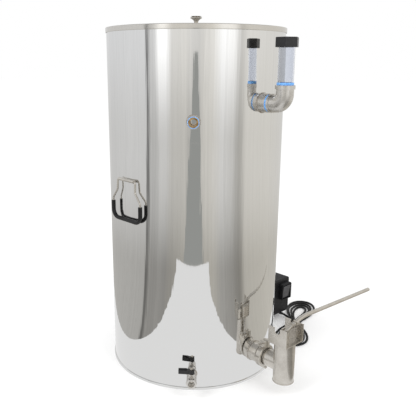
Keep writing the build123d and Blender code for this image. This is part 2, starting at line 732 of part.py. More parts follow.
with BuildPart() as sight_cap:
    with BuildSketch(Plane.XY.offset(CAP_BOTTOM)):
        with Locations((0, SIGHT_Y)):
            RegularPolygon(radius=CAP_FLATS / 2, side_count=6, major_radius=False, rotation=30)
    extrude(amount=CAP_TOP - CAP_BOTTOM)
    chamfer(sight_cap.edges().group_by(Axis.Z)[-1], 1.5)
    with BuildSketch(Plane.XY.offset(CAP_BOTTOM)):
        with Locations((0, SIGHT_Y)):
            Circle(SIGHT_PIPE_R + 0.35)
    extrude(amount=SIGHT_TOP + 0.5 - CAP_BOTTOM, mode=Mode.SUBTRACT)
keep(sight_cap, "sight_cap")

# Wraps of pipe-thread tape that show at the three joints.
with BuildPart() as thread_tape:
    with BuildSketch(Plane.XZ.offset(COUPLING_END)):
        with Locations((0, SIGHT_Z)):
            Circle(SIGHT_PIPE_R + 1.6)
            Circle(SIGHT_PIPE_R, mode=Mode.SUBTRACT)
    extrude(amount=TAPE_W)
    with BuildSketch(Plane.XY.offset(SIGHT_BAND_TOP)):
        with Locations((0, SIGHT_Y)):
            Circle(SIGHT_PIPE_R + 1.2)
            Circle(SIGHT_PIPE_R, mode=Mode.SUBTRACT)
    extrude(amount=TAPE_W)
    with BuildSketch(radial_plane(SIDE_AZ, 292, PORT_Z)):
        Circle(PORT_THREAD_R)
        Circle(PORT_SHANK_R, mode=Mode.SUBTRACT)
    extrude(amount=12.5)
keep(thread_tape, "thread_tape")

# =============================================================================
# Jacket port
# =============================================================================

PORT_END = 303.0

with BuildPart() as port_coupling:
    with BuildSketch(radial_plane(SIDE_AZ, SHELL_R - 5, PORT_Z)):
        Circle(PORT_R)
    extrude(amount=PORT_END - SHELL_R + 5)
    add(shell_core.part, mode=Mode.SUBTRACT)
    with BuildSketch(radial_plane(SIDE_AZ, SHELL_R - 5, PORT_Z)):
        Circle(PORT_THREAD_R)
    extrude(amount=60, mode=Mode.SUBTRACT)
keep(port_coupling, "port_coupling")

with BuildPart() as port_fitting:
    with BuildSketch(radial_plane(SIDE_AZ, SHELL_R + 5, PORT_Z)):
        Circle(PORT_SHANK_R)
        Circle(PORT_HOLE_R, mode=Mode.SUBTRACT)
    extrude(amount=PORT_END + 2.5 - SHELL_R - 5)
keep(port_fitting, "port_fitting")

# =============================================================================
# Jacket drain: a small ball valve, stored closed
# =============================================================================

DRAIN_INLET = 297.0
BONNET_TOP = DRAIN_Z + 22.0

with BuildPart() as drain_coupling:
    with BuildSketch(radial_plane(SIDE_AZ, SHELL_R - 4, DRAIN_Z)):
        Circle(15)
    extrude(amount=DRAIN_INLET - SHELL_R + 4)
    add(shell_core.part, mode=Mode.SUBTRACT)
    with BuildSketch(radial_plane(SIDE_AZ, SHELL_R - 4, DRAIN_Z)):
        Circle(10)
    extrude(amount=60, mode=Mode.SUBTRACT)
keep(drain_coupling, "drain_coupling")

drain_centre = radial_plane(SIDE_AZ, DRAIN_BALL_RAD, DRAIN_Z)
DRAIN_XY = (drain_centre.origin.X, drain_centre.origin.Y)
SEAT_INNER = 8.0  # seats sit this far from the ball's centre
CAVITY_R = 12.2

with BuildPart() as drain_body:
    with BuildSketch(radial_plane(SIDE_AZ, DRAIN_INLET, DRAIN_Z)):
        RegularPolygon(radius=13.5, side_count=6, major_radius=False)
    extrude(amount=8)
    with BuildSketch(radial_plane(SIDE_AZ, DRAIN_INLET + 8, DRAIN_Z)):
        Circle(15.5)
    extrude(amount=26)
    with BuildSketch(radial_plane(SIDE_AZ, DRAIN_INLET + 34, DRAIN_Z)):
        RegularPolygon(radius=14.5, side_count=6, major_radius=False)
    extrude(amount=DRAIN_END - DRAIN_INLET - 34)
    with BuildSketch(Plane.XY.offset(DRAIN_Z)):
        with Locations(DRAIN_XY):
            Circle(8.5)
    extrude(amount=BONNET_TOP - DRAIN_Z)
    with BuildSketch(radial_plane(SIDE_AZ, SHELL_R + 5, DRAIN_Z)):
        Circle(10)
    extrude(amount=DRAIN_INLET - SHELL_R - 5)
    # waterway, ball cavity and threaded outlet
    with BuildSketch(radial_plane(SIDE_AZ, SHELL_R, DRAIN_Z)):
        Circle(DRAIN_BORE_R)
    extrude(amount=80, mode=Mode.SUBTRACT)
    with BuildSketch(drain_centre.offset(-CAVITY_R)):
        Circle(CAVITY_R)
    extrude(amount=2 * CAVITY_R, mode=Mode.SUBTRACT)
    with BuildSketch(radial_plane(SIDE_AZ, DRAIN_END - 11, DRAIN_Z)):
        Circle(DRAIN_THREAD_R)
    extrude(amount=20, mode=Mode.SUBTRACT)
    with BuildSketch(Plane.XY.offset(DRAIN_Z)):
        with Locations(DRAIN_XY):
            Circle(3.06)
    extrude(amount=60, mode=Mode.SUBTRACT)
keep(drain_body, "drain_body")

with BuildPart() as drain_ball:
    with Locations(drain_centre):
        Sphere(DRAIN_BALL_R)
    # closed: the ball's bore lies across the waterway
    with BuildSketch(Plane(origin=drain_centre.origin - drain_centre.x_dir * 20, z_dir=drain_centre.x_dir)):
        Circle(DRAIN_BORE_R)
    extrude(amount=40, mode=Mode.SUBTRACT)
    with BuildSketch(Plane.XY.offset(DRAIN_Z + DRAIN_BALL_R - 2.5)):
        with Locations(DRAIN_XY):
            Circle(3)
    extrude(amount=5, mode=Mode.SUBTRACT)
keep(drain_ball, "drain_ball")

with BuildPart() as ball_clearance:
    with Locations(drain_centre):
        Sphere(DRAIN_BALL_R + 0.3)

with BuildPart() as drain_seats:
    for inner, depth in ((SEAT_INNER, CAVITY_R - SEAT_INNER), (-CAVITY_R, CAVITY_R - SEAT_INNER)):
        with BuildSketch(drain_centre.offset(inner)):
            Circle(CAVITY_R)
            Circle(DRAIN_BORE_R, mode=Mode.SUBTRACT)
        extrude(amount=depth)
    add(ball_clearance.part, mode=Mode.SUBTRACT)
keep(drain_seats, "drain_seats")

LEVER_HUB_Z = BONNET_TOP + 1.0
LEVER_HUB_TOP = BONNET_TOP + 14.0

with BuildPart() as drain_stem:
    with BuildSketch(Plane.XY.offset(DRAIN_Z + DRAIN_BALL_R - 2.5)):
        with Locations(DRAIN_XY):
            Circle(3)
    extrude(amount=LEVER_HUB_TOP + 5 - DRAIN_Z - DRAIN_BALL_R + 2.5)
    with BuildSketch(Plane.XY.offset(LEVER_HUB_TOP)):
        with Locations(DRAIN_XY):
            RegularPolygon(radius=5, side_count=6, major_radius=False)
    extrude(amount=3.5)
keep(drain_stem, "drain_stem")

# The handle's plane: local X outwards along the pipe, local Y to the left of it.
handle_plane = Plane(
    origin=(drain_centre.origin.X, drain_centre.origin.Y, LEVER_HUB_Z),
    x_dir=-drain_centre.x_dir,
    z_dir=(0, 0, 1),
)

with BuildPart() as drain_lever:
    with BuildSketch(handle_plane):
        Circle(9)
        with BuildLine():
            Polyline((-9, -6), (14, -6), (40, -4.5), (40, 4.5), (14, 6), (-9, 6), (-9, -6))
        make_face()
    extrude(amount=LEVER_HUB_TOP - LEVER_HUB_Z)
    with BuildSketch(handle_plane.offset(4)):
        with Locations((27, 0)):
            RectangleRounded(26, 5, 2)
    extrude(amount=13)
    with BuildSketch(handle_plane.offset(-1)):
        Circle(3)
    extrude(amount=30, mode=Mode.SUBTRACT)
    fillet(drain_lever.edges().group_by(Axis.Z)[-1], 1.2)
keep(drain_lever, "drain_lever")

# =============================================================================
# Bail handles, one on each side
# =============================================================================

LEG_Y = 42.0
FLARE_Y = 66.0
GRIP_TOP = 580.0
BAIL_LEAN = 1.6  # the loop hangs this much outwards of its hinge, to clear the shell
BAIL_BOTTOM = 529.0

for side, word in ((-1, "left"), (1, "right")):
    hinge_x = side * HANDLE_OFF
    loop_x = side * (HANDLE_OFF + BAIL_LEAN)
    with BuildPart() as handle_tube:
        with BuildSketch(Plane.XY.offset(HANDLE_Z - 3)):
            with Locations((side * (HANDLE_OFF - 8), -24), (side * (HANDLE_OFF - 8), 24)):
                Rectangle(16, 18)
        extrude(amount=6)
        add(shell_core.part, mode=Mode.SUBTRACT)
        with BuildSketch(Plane.XZ.offset(-HANDLE_TUBE_HALF)):
            with Locations((hinge_x, HANDLE_Z)):
                Circle(HANDLE_TUBE_R)
        extrude(amount=2 * HANDLE_TUBE_HALF)
        with BuildSketch(Plane.XZ.offset(-HANDLE_TUBE_HALF - 1)):
            with Locations((hinge_x, HANDLE_Z)):
                Circle(WIRE_R + 0.08)
        extrude(amount=2 * HANDLE_TUBE_HALF + 2, mode=Mode.SUBTRACT)
    keep(handle_tube, f"{word}_handle_tube")

    with BuildPart() as bail_wire:
        with BuildLine() as wire_path:
            FilletPolyline(
                (hinge_x, 0, HANDLE_Z),
                (hinge_x, LEG_Y, HANDLE_Z),
                (loop_x, LEG_Y + 1, 618),
                (loop_x, FLARE_Y, 590),
                (loop_x, FLARE_Y, BAIL_BOTTOM),
                (loop_x, 0, BAIL_BOTTOM),
                radius=[6, 14, 12, 24],
            )
        with BuildSketch(Plane.XZ):
            with Locations((hinge_x, HANDLE_Z)):
                Circle(WIRE_R)
        sweep()
        mirror(about=Plane.XZ)
    keep(bail_wire, f"{word}_bail_wire")

    with BuildPart() as bail_grip:
        with BuildLine() as grip_path:
            FilletPolyline(
                (loop_x, FLARE_Y, GRIP_TOP),
                (loop_x, FLARE_Y, BAIL_BOTTOM),
                (loop_x, 0, BAIL_BOTTOM),
                radius=24,
            )
        with BuildSketch(Plane.XY.offset(GRIP_TOP)):
            with Locations((loop_x, FLARE_Y)):
                Circle(GRIP_R)
                Circle(WIRE_R, mode=Mode.SUBTRACT)
        sweep()
        mirror(about=Plane.XZ)
    keep(bail_grip, f"{word}_grip")

# =============================================================================
# Heater and control box
# =============================================================================

COUPLING_OUT = 300.0
HEX_OUT = 313.0

with BuildPart() as heater_coupling:
    with BuildSketch(radial_plane(90, SHELL_R - 6, HEATER_Z)):
        Circle(22)
    extrude(amount=COUPLING_OUT - SHELL_R + 6)
    add(shell_core.part, mode=Mode.SUBTRACT)
    with BuildSketch(radial_plane(90, SHELL_R - 6, HEATER_Z)):
        Circle(HEATER_THREAD_R)
    extrude(amount=60, mode=Mode.SUBTRACT)
keep(heater_coupling, "heater_coupling")

ELEMENT_START = 268.0

with BuildPart() as heater_plug:
    with BuildSketch(Plane.YZ.offset(ELEMENT_START)):
        with Locations((0, HEATER_Z)):
            Circle(HEATER_THREAD_R)
    extrude(amount=BOX_X0 + BOX_WALL + 4 - ELEMENT_START)
    with BuildSketch(Plane.YZ.offset(COUPLING_OUT)):
        with Locations((0, HEATER_Z)):
            RegularPolygon(radius=25, side_count=6, major_radius=False)
    extrude(amount=HEX_OUT - COUPLING_OUT)
    chamfer(heater_plug.edges().filter_by(Plane.YZ).group_by(SortBy.LENGTH)[0], 0.5)
keep(heater_plug, "heater_plug")

ELEMENT_R = 4.0
ELEMENT_SPREAD = 13.0
ELEMENT_TIP = -40.0

with BuildPart() as heater_element:
    with BuildLine() as element_path:
        FilletPolyline(
            (ELEMENT_START, -ELEMENT_SPREAD, HEATER_Z),
            (ELEMENT_TIP, -ELEMENT_SPREAD, HEATER_Z),
            (ELEMENT_TIP, ELEMENT_SPREAD, HEATER_Z),
            (ELEMENT_START, ELEMENT_SPREAD, HEATER_Z),
            radius=ELEMENT_SPREAD - 0.5,
        )
    with BuildSketch(Plane.YZ.offset(ELEMENT_START)):
        with Locations((-ELEMENT_SPREAD, HEATER_Z)):
            Circle(ELEMENT_R)
    sweep()
keep(heater_element, "heater_element")

BOX_MID_Z = (BOX_Z0 + BOX_Z1) / 2
BOX_H = BOX_Z1 - BOX_Z0
SWITCH_MID_X = (SWITCH_X0 + SWITCH_X1) / 2 - 3
SWITCH_MID_Z = (SWITCH_Z0 + SWITCH_Z1) / 2

with BuildPart() as box_body:
    with BuildSketch(Plane.YZ.offset(BOX_X0)):
        with Locations((0, BOX_MID_Z)):
            RectangleRounded(2 * BOX_HALF, BOX_H, 6)
    extrude(amount=BOX_SPLIT - BOX_X0)
    fillet(box_body.edges().group_by(Axis.X)[0], 3)
    with BuildSketch(Plane.YZ.offset(BOX_X0 + BOX_WALL)):
        with Locations((0, BOX_MID_Z)):
            RectangleRounded(2 * (BOX_HALF - BOX_WALL), BOX_H - 2 * BOX_WALL, 4)
    extrude(amount=BOX_X1 - BOX_X0, mode=Mode.SUBTRACT)
    with BuildSketch(Plane.YZ.offset(BOX_X0 - 1)):
        with Locations((0, HEATER_Z)):
            Circle(HEATER_THREAD_R)
    extrude(amount=BOX_WALL + 2, mode=Mode.SUBTRACT)
    with BuildSketch(Plane.XY.offset(BOX_Z0 - 1)):
        with Locations((GLAND_X, GLAND_Y)):
            Circle(6)
    extrude(amount=BOX_WALL + 2, mode=Mode.SUBTRACT)
    with BuildSketch(Plane.XZ.offset(BOX_HALF - BOX_WALL - 1)):
        with Locations((SWITCH_MID_X, SWITCH_MID_Z)):
            Rectangle(30, 40)
    extrude(amount=BOX_WALL + 2, mode=Mode.SUBTRACT)
keep(box_body, "box_body")

with BuildPart() as box_cover:
    with BuildSketch(Plane.YZ.offset(BOX_SPLIT)):
        with Locations((0, BOX_MID_Z)):
            RectangleRounded(2 * BOX_HALF, BOX_H, 6)
    extrude(amount=BOX_X1 - BOX_SPLIT)
    fillet(box_cover.edges().group_by(Axis.X)[-1], 3.5)
    with BuildSketch(Plane.YZ.offset(BOX_SPLIT)):
        with Locations((0, BOX_MID_Z)):
            RectangleRounded(2 * (BOX_HALF - 9), BOX_H - 18, 4)
    extrude(amount=BOX_X1 - BOX_SPLIT - BOX_WALL, mode=Mode.SUBTRACT)
    with BuildSketch(Plane.YZ.offset(BOX_SPLIT)):
        with Locations((0, BOX_MID_Z)):
            with GridLocations(2 * BOX_HALF - 16, BOX_H - 16, 2, 2):
                Circle(2)
    extrude(amount=30, mode=Mode.SUBTRACT)
    with BuildSketch(Plane.YZ.offset(BOX_SPLIT)):
        with Locations((0, DIAL_Z)):
            Circle(3.06)
    extrude(amount=30, mode=Mode.SUBTRACT)
keep(box_cover, "box_cover")

with BuildPart() as cover_screws:
    with BuildSketch(Plane.YZ.offset(BOX_SPLIT + 1)):
        with Locations((0, BOX_MID_Z)):
            with GridLocations(2 * BOX_HALF - 16, BOX_H - 16, 2, 2):
                Circle(2)
    extrude(amount=BOX_X1 - BOX_SPLIT - 1)
    with BuildSketch(Plane.YZ.offset(BOX_X1)):
        with Locations((0, BOX_MID_Z)):
            with GridLocations(2 * BOX_HALF - 16, BOX_H - 16, 2, 2):
                Circle(3.8)
    extrude(amount=2.2)
    chamfer(cover_screws.edges().group_by(Axis.X)[-1], 0.7)
    with BuildSketch(Plane.YZ.offset(BOX_X1 + 1)):
        with Locations((0, BOX_MID_Z)):
            with GridLocations(2 * BOX_HALF - 16, BOX_H - 16, 2, 2):
                Rectangle(1, 5)
                Rectangle(5, 1)
    extrude(amount=3, mode=Mode.SUBTRACT)
keep(cover_screws, "cover_screws")

SWITCH_FACE = -BOX_HALF - SWITCH_PROUD
ROCKER_W = 41.0
ROCKER_H = 50.0
ROCKER_AXIS_Y = -BOX_HALF - 10.0

with BuildPart() as switch_hood:
    with BuildSketch(Plane.XZ.offset(BOX_HALF)):
        with Locations(((SWITCH_X0 + SWITCH_X1) / 2, SWITCH_MID_Z)):
            RectangleRounded(SWITCH_X1 - SWITCH_X0, SWITCH_Z1 - SWITCH_Z0, 6)
    extrude(amount=SWITCH_PROUD)
    fillet(switch_hood.edges().group_by(Axis.Y)[0], 2.5)
    with BuildSketch(Plane.XZ.offset(BOX_HALF + 3)):
        with Locations((SWITCH_MID_X, SWITCH_MID_Z)):
            RectangleRounded(ROCKER_W + 3, ROCKER_H + 6, 2)
    extrude(amount=SWITCH_PROUD, mode=Mode.SUBTRACT)
    with BuildSketch(Plane.XZ.offset(BOX_HALF - 10)):
        with Locations((SWITCH_MID_X, SWITCH_MID_Z)):
            Rectangle(30, 40)
    extrude(amount=10)
keep(switch_hood, "switch_hood")

with BuildPart() as switch_rocker:
    with BuildSketch(Plane.YZ.offset(SWITCH_MID_X - ROCKER_W / 2)):
        with BuildLine():
            Polyline(
                (ROCKER_AXIS_Y + 3, SWITCH_MID_Z - ROCKER_H / 2 + 2),
                (ROCKER_AXIS_Y - 5, SWITCH_MID_Z - ROCKER_H / 2),
            )
            Spline(
                (ROCKER_AXIS_Y - 5, SWITCH_MID_Z - ROCKER_H / 2),
                (ROCKER_AXIS_Y - 8, SWITCH_MID_Z - 3),
                (ROCKER_AXIS_Y - 12, SWITCH_MID_Z + ROCKER_H / 2),
            )
            Polyline(
                (ROCKER_AXIS_Y - 12, SWITCH_MID_Z + ROCKER_H / 2),
                (ROCKER_AXIS_Y, SWITCH_MID_Z + ROCKER_H / 2 - 2),
                (ROCKER_AXIS_Y + 3, SWITCH_MID_Z - ROCKER_H / 2 + 2),
            )
        make_face()
    extrude(amount=ROCKER_W)
    fillet(switch_rocker.edges().filter_by(Axis.X).group_by(Axis.Y)[0], 1.2)
keep(switch_rocker, "switch_rocker")

with BuildPart() as thermostat_body:
    with BuildSketch(Plane.YZ.offset(BOX_X1 - BOX_WALL)):
        with Locations((0, DIAL_Z)):
            RectangleRounded(56, 60, 3)
    extrude(amount=-30)
keep(thermostat_body, "thermostat_body")

DIAL_R = 20.0

with BuildPart() as thermostat_knob:
    with BuildSketch(Plane.YZ.offset(BOX_X1 + 0.4)):
        with Locations((0, DIAL_Z)):
            Circle(DIAL_R)
    extrude(amount=5)
    with BuildSketch(Plane.YZ.offset(BOX_X1 + 5.4)):
        with Locations((0, DIAL_Z)):
            Circle(13)
    extrude(amount=11, taper=4)
    fillet(thermostat_knob.edges().group_by(Axis.X)[-1], 1.5)
    with BuildSketch(Plane.YZ.offset(BOX_X1 + 14.9)):
        with Locations((0, DIAL_Z + 8)):
            Rectangle(1.6, 8)
    extrude(amount=5, mode=Mode.SUBTRACT)
    with BuildSketch(Plane.YZ.offset(BOX_X1 + 0.4)):
        with Locations((0, DIAL_Z)):
            Circle(3)
    extrude(amount=-3)
keep(thermostat_knob, "thermostat_knob")

# =============================================================================
# Power cord: angled strain relief under the box, lead, tied hank and plug
# =============================================================================

with BuildPart() as cord_gland:
    with BuildSketch(Plane.XY.offset(BOX_Z0 + BOX_WALL)):
        with Locations((GLAND_X, GLAND_Y)):
            Circle(6)
    extrude(amount=-BOX_WALL)
    with BuildSketch(Plane.XY.offset(BOX_Z0)):
        with Locations((GLAND_X, GLAND_Y)):
            Circle(10)
    extrude(amount=-4)
    with BuildSketch(Plane.XY.offset(BOX_Z0 - 4)):
        with Locations((GLAND_X, GLAND_Y)):
            Circle(7.5)
    extrude(amount=-10)
    with BuildSketch(Plane.XZ.offset(-GLAND_Y)):
        with Locations((GLAND_X, GLAND_Z)):
            Circle(6.5)
    with BuildSketch(Plane.XZ.offset(-GLAND_END_Y)):
        with Locations((GLAND_X, GLAND_Z)):
            Circle(CORD_R + 0.7)
    loft()
keep(cord_gland, "cord_gland")

lead_points = [
    Vector(GLAND_X, GLAND_END_Y, GLAND_Z),
    Vector(GLAND_X, GLAND_END_Y - 10.5, GLAND_Z),
    Vector(GLAND_X, LEAD_END_Y + 11, LEAD_END_Z),
    Vector(GLAND_X, LEAD_END_Y, LEAD_END_Z),
]


def route_radii(points):
    """Radius of each arc of a cord's route: as large as the two runs beside it allow."""
    radii = []
    for before, here, after in zip(points, points[1:], points[2:]):
        run_in = here - before
        run_out = after - here
        turn = radians(run_in.get_angle(run_out))
        radii.append(0.45 * min(run_in.length, run_out.length) / tan(turn / 2))
    return radii


lead_radii = route_radii(lead_points)
print("cord_lead radii", [round(r, 1) for r in lead_radii])

with BuildPart() as cord_lead:
    with BuildLine() as lead_path:
        FilletPolyline(*lead_points, radius=lead_radii)
    with BuildSketch(Plane(origin=lead_path.line @ 0, z_dir=lead_path.line % 0)):
        Circle(CORD_R)
    sweep()
keep(cord_lead, "cord_lead")
lead_length = lead_path.wires()[0].length
print("cord_lead volume", cord_lead.part.volume, "section x length", pi * CORD_R**2 * lead_length)

# The hank lies flat on the floor: two lobes of loose turns, tied at the waist.
# Its plane's local X runs along the hank, away from the tank's front.
hank_plane = Plane(
    origin=(WAIST[0], WAIST[1], 0),
    x_dir=(cos(radians(HANK_ANGLE)), sin(radians(HANK_ANGLE)), 0),
    z_dir=(0, 0, 1),
)


def lobe(size, at_waist, way, start, count):
    """Points round one lobe, from its left side at the waist to its right side."""
    length, left, right = size
    peak = 4 / (3 * sqrt(3))
    points = []
    for i in range(count):
        t = start + (2 * pi - 2 * start) * i / (count - 1)
        along = WAIST_START + (length - WAIST_START) * (1 - cos(t)) / 2
        across = (left + right) / 2 * sin(t) * sin(t / 2) / peak
        across += (left - right) / 2 * sin(t / 2) ** 2 + at_waist * cos(t / 2)
        points.append((way * along, across))
    return points


TIE_T = 1.2
TIE_HALF = OUTER_AT_WAIST + 0.3
TIE_TOP = HANK_H + 0.4

with BuildPart() as cord_tie:
    with BuildSketch(Plane(origin=hank_plane.origin - hank_plane.x_dir * 4, z_dir=hank_plane.x_dir)):
        with Locations((0, (TIE_TOP + TIE_T) / 2)):
            RectangleRounded(2 * (TIE_HALF + TIE_T), TIE_TOP + TIE_T, 4)
            RectangleRounded(2 * TIE_HALF, TIE_TOP - TIE_T, 3, mode=Mode.SUBTRACT)
    extrude(amount=8)
keep(cord_tie, "cord_tie")

near_turn = lobe(NEAR_OUTER, OUTER_AT_WAIST, -1, 0, 15)
far_turn = lobe(FAR_OUTER, OUTER_AT_WAIST, 1, 0, 15)

with BuildPart() as cord_hank:
    with BuildSketch(hank_plane):
        with BuildLine():
            Spline(*near_turn, *reversed(far_turn), periodic=True)
        make_face()
        for size, way, start in ((NEAR_HOLE, -1, 0.85), (FAR_HOLE, 1, 1.0)):
            hole = lobe(size, HOLE_AT_WAIST, way, start, 11)
            with BuildLine():
                Spline(*hole)
                Line(hole[-1], hole[0])
            make_face(mode=Mode.SUBTRACT)
        with Locations((PLUG_START - 15, 0)):
            Rectangle(30, 19, mode=Mode.SUBTRACT)
    extrude(amount=HANK_H)
    # flat face that the lead runs into
    with BuildSketch():
        with Locations((GLAND_X, LEAD_END_Y + 10)):
            Rectangle(16, 20)
    extrude(amount=40, mode=Mode.SUBTRACT)
    # the lead's own way from that face into the waist
    with BuildSketch():
        Polygon(
            (GLAND_X - CORD_R, LEAD_END_Y),
            (GLAND_X + CORD_R, LEAD_END_Y),
            (GLAND_X + CORD_R, LEAD_END_Y - 12),
            (WAIST[0] + 8, WAIST[1] + 12),
            (WAIST[0] - 12, WAIST[1] + 6),
            align=None,
        )
    extrude(amount=HANK_H)
    add(cord_tie.part, mode=Mode.SUBTRACT)
keep(cord_hank, "cord_hank")

# The plug lies inside the near lobe, its strain relief towards the waist.
RELIEF_L = 36.0
PLUG_L = 36.0
PLUG_Z = 10.0

plug_plane = Plane(
    origin=hank_plane.origin + hank_plane.x_dir * PLUG_START + Vector(0, 0, PLUG_Z),
    x_dir=(0, 0, 1),
    z_dir=-hank_plane.x_dir,
)

with BuildPart() as cord_plug:
    with BuildSketch(plug_plane):
        Circle(CORD_R + 0.8)
    with BuildSketch(plug_plane.offset(RELIEF_L)):
        Circle(7)
    loft()
    with BuildSketch(plug_plane.offset(RELIEF_L - 4)):
        RectangleRounded(16, 20, 6)
    with BuildSketch(plug_plane.offset(RELIEF_L + 16)):
        RectangleRounded(20, 27, 8)
    loft()
    with BuildSketch(plug_plane.offset(RELIEF_L + 16)):
        RectangleRounded(20, 27, 8)
    extrude(amount=PLUG_L - 16)
    fillet(cord_plug.faces().sort_by(SortBy.DISTANCE, reverse=False)[-1].edges(), 1)
keep(cord_plug, "cord_plug")

with BuildPart() as plug_prongs:
    with BuildSketch(plug_plane.offset(RELIEF_L + PLUG_L)):
        with Locations((3, -6.35), (3, 6.35)):
            Rectangle(6.3, 1.5)
    extrude(amount=17)
    with BuildSketch(plug_plane.offset(RELIEF_L + PLUG_L)):
        with Locations((-6, 0)):
            Circle(2.4)
    extrude(amount=20)
    chamfer(plug_prongs.edges().group_by(SortBy.LENGTH)[0], 0.3)
keep(plug_prongs, "plug_prongs")
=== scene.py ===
import json
import math

import bmesh
import bpy
from mathutils import Matrix, Vector


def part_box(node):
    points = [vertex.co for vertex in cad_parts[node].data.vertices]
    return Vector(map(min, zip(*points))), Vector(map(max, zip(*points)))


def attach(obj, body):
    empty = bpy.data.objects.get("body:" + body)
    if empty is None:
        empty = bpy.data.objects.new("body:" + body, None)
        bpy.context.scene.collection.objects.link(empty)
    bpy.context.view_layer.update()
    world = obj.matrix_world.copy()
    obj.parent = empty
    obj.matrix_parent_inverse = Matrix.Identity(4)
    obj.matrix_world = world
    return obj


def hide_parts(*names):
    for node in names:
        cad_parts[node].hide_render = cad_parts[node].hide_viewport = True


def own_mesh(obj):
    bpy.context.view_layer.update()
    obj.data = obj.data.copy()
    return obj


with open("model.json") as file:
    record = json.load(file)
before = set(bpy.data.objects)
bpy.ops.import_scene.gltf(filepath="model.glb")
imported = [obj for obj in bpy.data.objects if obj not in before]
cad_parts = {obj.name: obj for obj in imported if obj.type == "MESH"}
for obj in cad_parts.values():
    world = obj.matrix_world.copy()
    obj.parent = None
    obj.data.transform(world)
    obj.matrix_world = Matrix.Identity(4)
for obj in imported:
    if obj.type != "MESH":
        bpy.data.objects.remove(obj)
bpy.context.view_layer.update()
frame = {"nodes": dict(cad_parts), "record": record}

AXIS_Z = Vector((0, 0, 1))
SHELL_R = 0.280


# ---------------------------------------------------------------- camera
CAMERA_AZIMUTH = math.radians(-43.9)
CAMERA_DISTANCE = 1.8713
CAMERA_HEIGHT = 0.9951
CAMERA_YAW = -0.015
CAMERA_PITCH = 0.25115
CAMERA_ROLL = 0.0036

camera_data = bpy.data.cameras.new("camera")
camera = bpy.data.objects.new("camera", camera_data)
bpy.context.scene.collection.objects.link(camera)
bpy.context.scene.camera = camera
camera_data.sensor_width = 36.0
camera_data.lens = 49.306
camera_data.shift_x = 0.0517
camera_data.shift_y = 0.0012
camera_data.clip_start = 0.05
camera_data.clip_end = 100.0

turn = Matrix.Rotation(CAMERA_AZIMUTH, 3, "Z")
level_ahead = turn @ Vector((math.sin(CAMERA_YAW), math.cos(CAMERA_YAW), 0))
level_right = turn @ Vector((math.cos(CAMERA_YAW), -math.sin(CAMERA_YAW), 0))
ahead = level_ahead * math.cos(CAMERA_PITCH) - AXIS_Z * math.sin(CAMERA_PITCH)
above = level_ahead * math.sin(CAMERA_PITCH) + AXIS_Z * math.cos(CAMERA_PITCH)
right = level_right * math.cos(CAMERA_ROLL) + above * math.sin(CAMERA_ROLL)
upright = above * math.cos(CAMERA_ROLL) - level_right * math.sin(CAMERA_ROLL)
place = turn @ Vector((0, -CAMERA_DISTANCE, 0)) + AXIS_Z * CAMERA_HEIGHT
pose = Matrix((right, upright, -ahead)).transposed().to_4x4()
camera.matrix_world = Matrix.Translation(place) @ pose


# ---------------------------------------------------------------- power cord
CORD_R = 0.004
WAIST = Vector((0.4205, -0.1336, 0))  # where the tie holds the hank
HANK_ANGLE = math.radians(30.3)
HANK_ALONG = Vector((math.cos(HANK_ANGLE), math.sin(HANK_ANGLE), 0))
HANK_ACROSS = Vector((-math.sin(HANK_ANGLE), math.cos(HANK_ANGLE), 0))
CORD_EXIT = Vector((0.433, -0.062, 0.0155))
WAIST_START = 0.014
ON_FLOOR = 0.0041  # height of a strand that rests on the floor
LOW, HIGH = 0.0054, 0.0128  # heights of the strands under the tie


def in_hank(along, across, up):
    return WAIST + HANK_ALONG * along + HANK_ACROSS * across + AXIS_Z * up


def lobe_points(size, way, left, right, drop_start):
    """One lobe's centreline from its left side at the waist to its right side.

    size is the length and the widths to the left and right; left and right are each
    the strand's offset and height under the tie.
    """
    length, width_left, width_right = size
    peak = 4 / (3 * math.sqrt(3))
    found = []
    for i in range(11):
        t = 0.35 + (2 * math.pi - 0.7) * i / 10
        near = left if t < math.pi else right
        along = WAIST_START + (length - WAIST_START) * (1 - math.cos(t)) / 2
        across = (width_left + width_right) / 2 * math.sin(t) * math.sin(t / 2) / peak
        across += (width_left - width_right) / 2 * math.sin(t / 2) ** 2
        across += near[0] * math.cos(t / 2)
        start = drop_start if near[1] > ON_FLOOR * 2 else 0.016
        down = min(1, max(0, (along - start) / 0.05))
        down = down * down * (3 - 2 * down)
        height = near[1] + (ON_FLOOR - near[1]) * down
        found.append(in_hank(way * along, across, height))
    return found


# length, width to the left and width to the right of each turn, the outermost first
NEAR_LOBES = (
    (0.192, 0.049, 0.054),
    (0.182, 0.0404, 0.0454),
    (0.172, 0.0318, 0.0368),
    (0.162, 0.0234, 0.0284),
)
FAR_LOBES = (
    (0.220, 0.036, 0.060),
    (0.200, 0.0276, 0.0514),
    (0.180, 0.0192, 0.0428),
    (0.160, 0.0108, 0.0342),
)
WAIST_LEFT = ((0.0168, LOW), (0.0084, LOW), (0.0126, HIGH), (0.0042, HIGH), (0.0, LOW))
WAIST_RIGHT = ((0.0168, LOW), (0.0084, LOW), (0.0126, HIGH), (0.0042, HIGH))

route = [
    CORD_EXIT,
    Vector((0.433, -0.0725, 0.0155)),
    Vector((0.433, -0.084, 0.011)),
    Vector((0.4326, -0.0955, 0.0106)),
    in_hank(0.0195, 0.0228, 0.0085),
    in_hank(0.008, 0.0188, 0.0066),
]
for layer in range(4):
    route += lobe_points(NEAR_LOBES[layer], -1, WAIST_LEFT[layer], WAIST_RIGHT[layer], 0.085)
    far = lobe_points(FAR_LOBES[layer], 1, WAIST_LEFT[layer + 1], WAIST_RIGHT[layer], 0.095)
    route += far[::-1]
route += [in_hank(-0.002, 0, LOW), in_hank(-0.022, 0, 0.0074), in_hank(-0.040, 0, 0.010)]


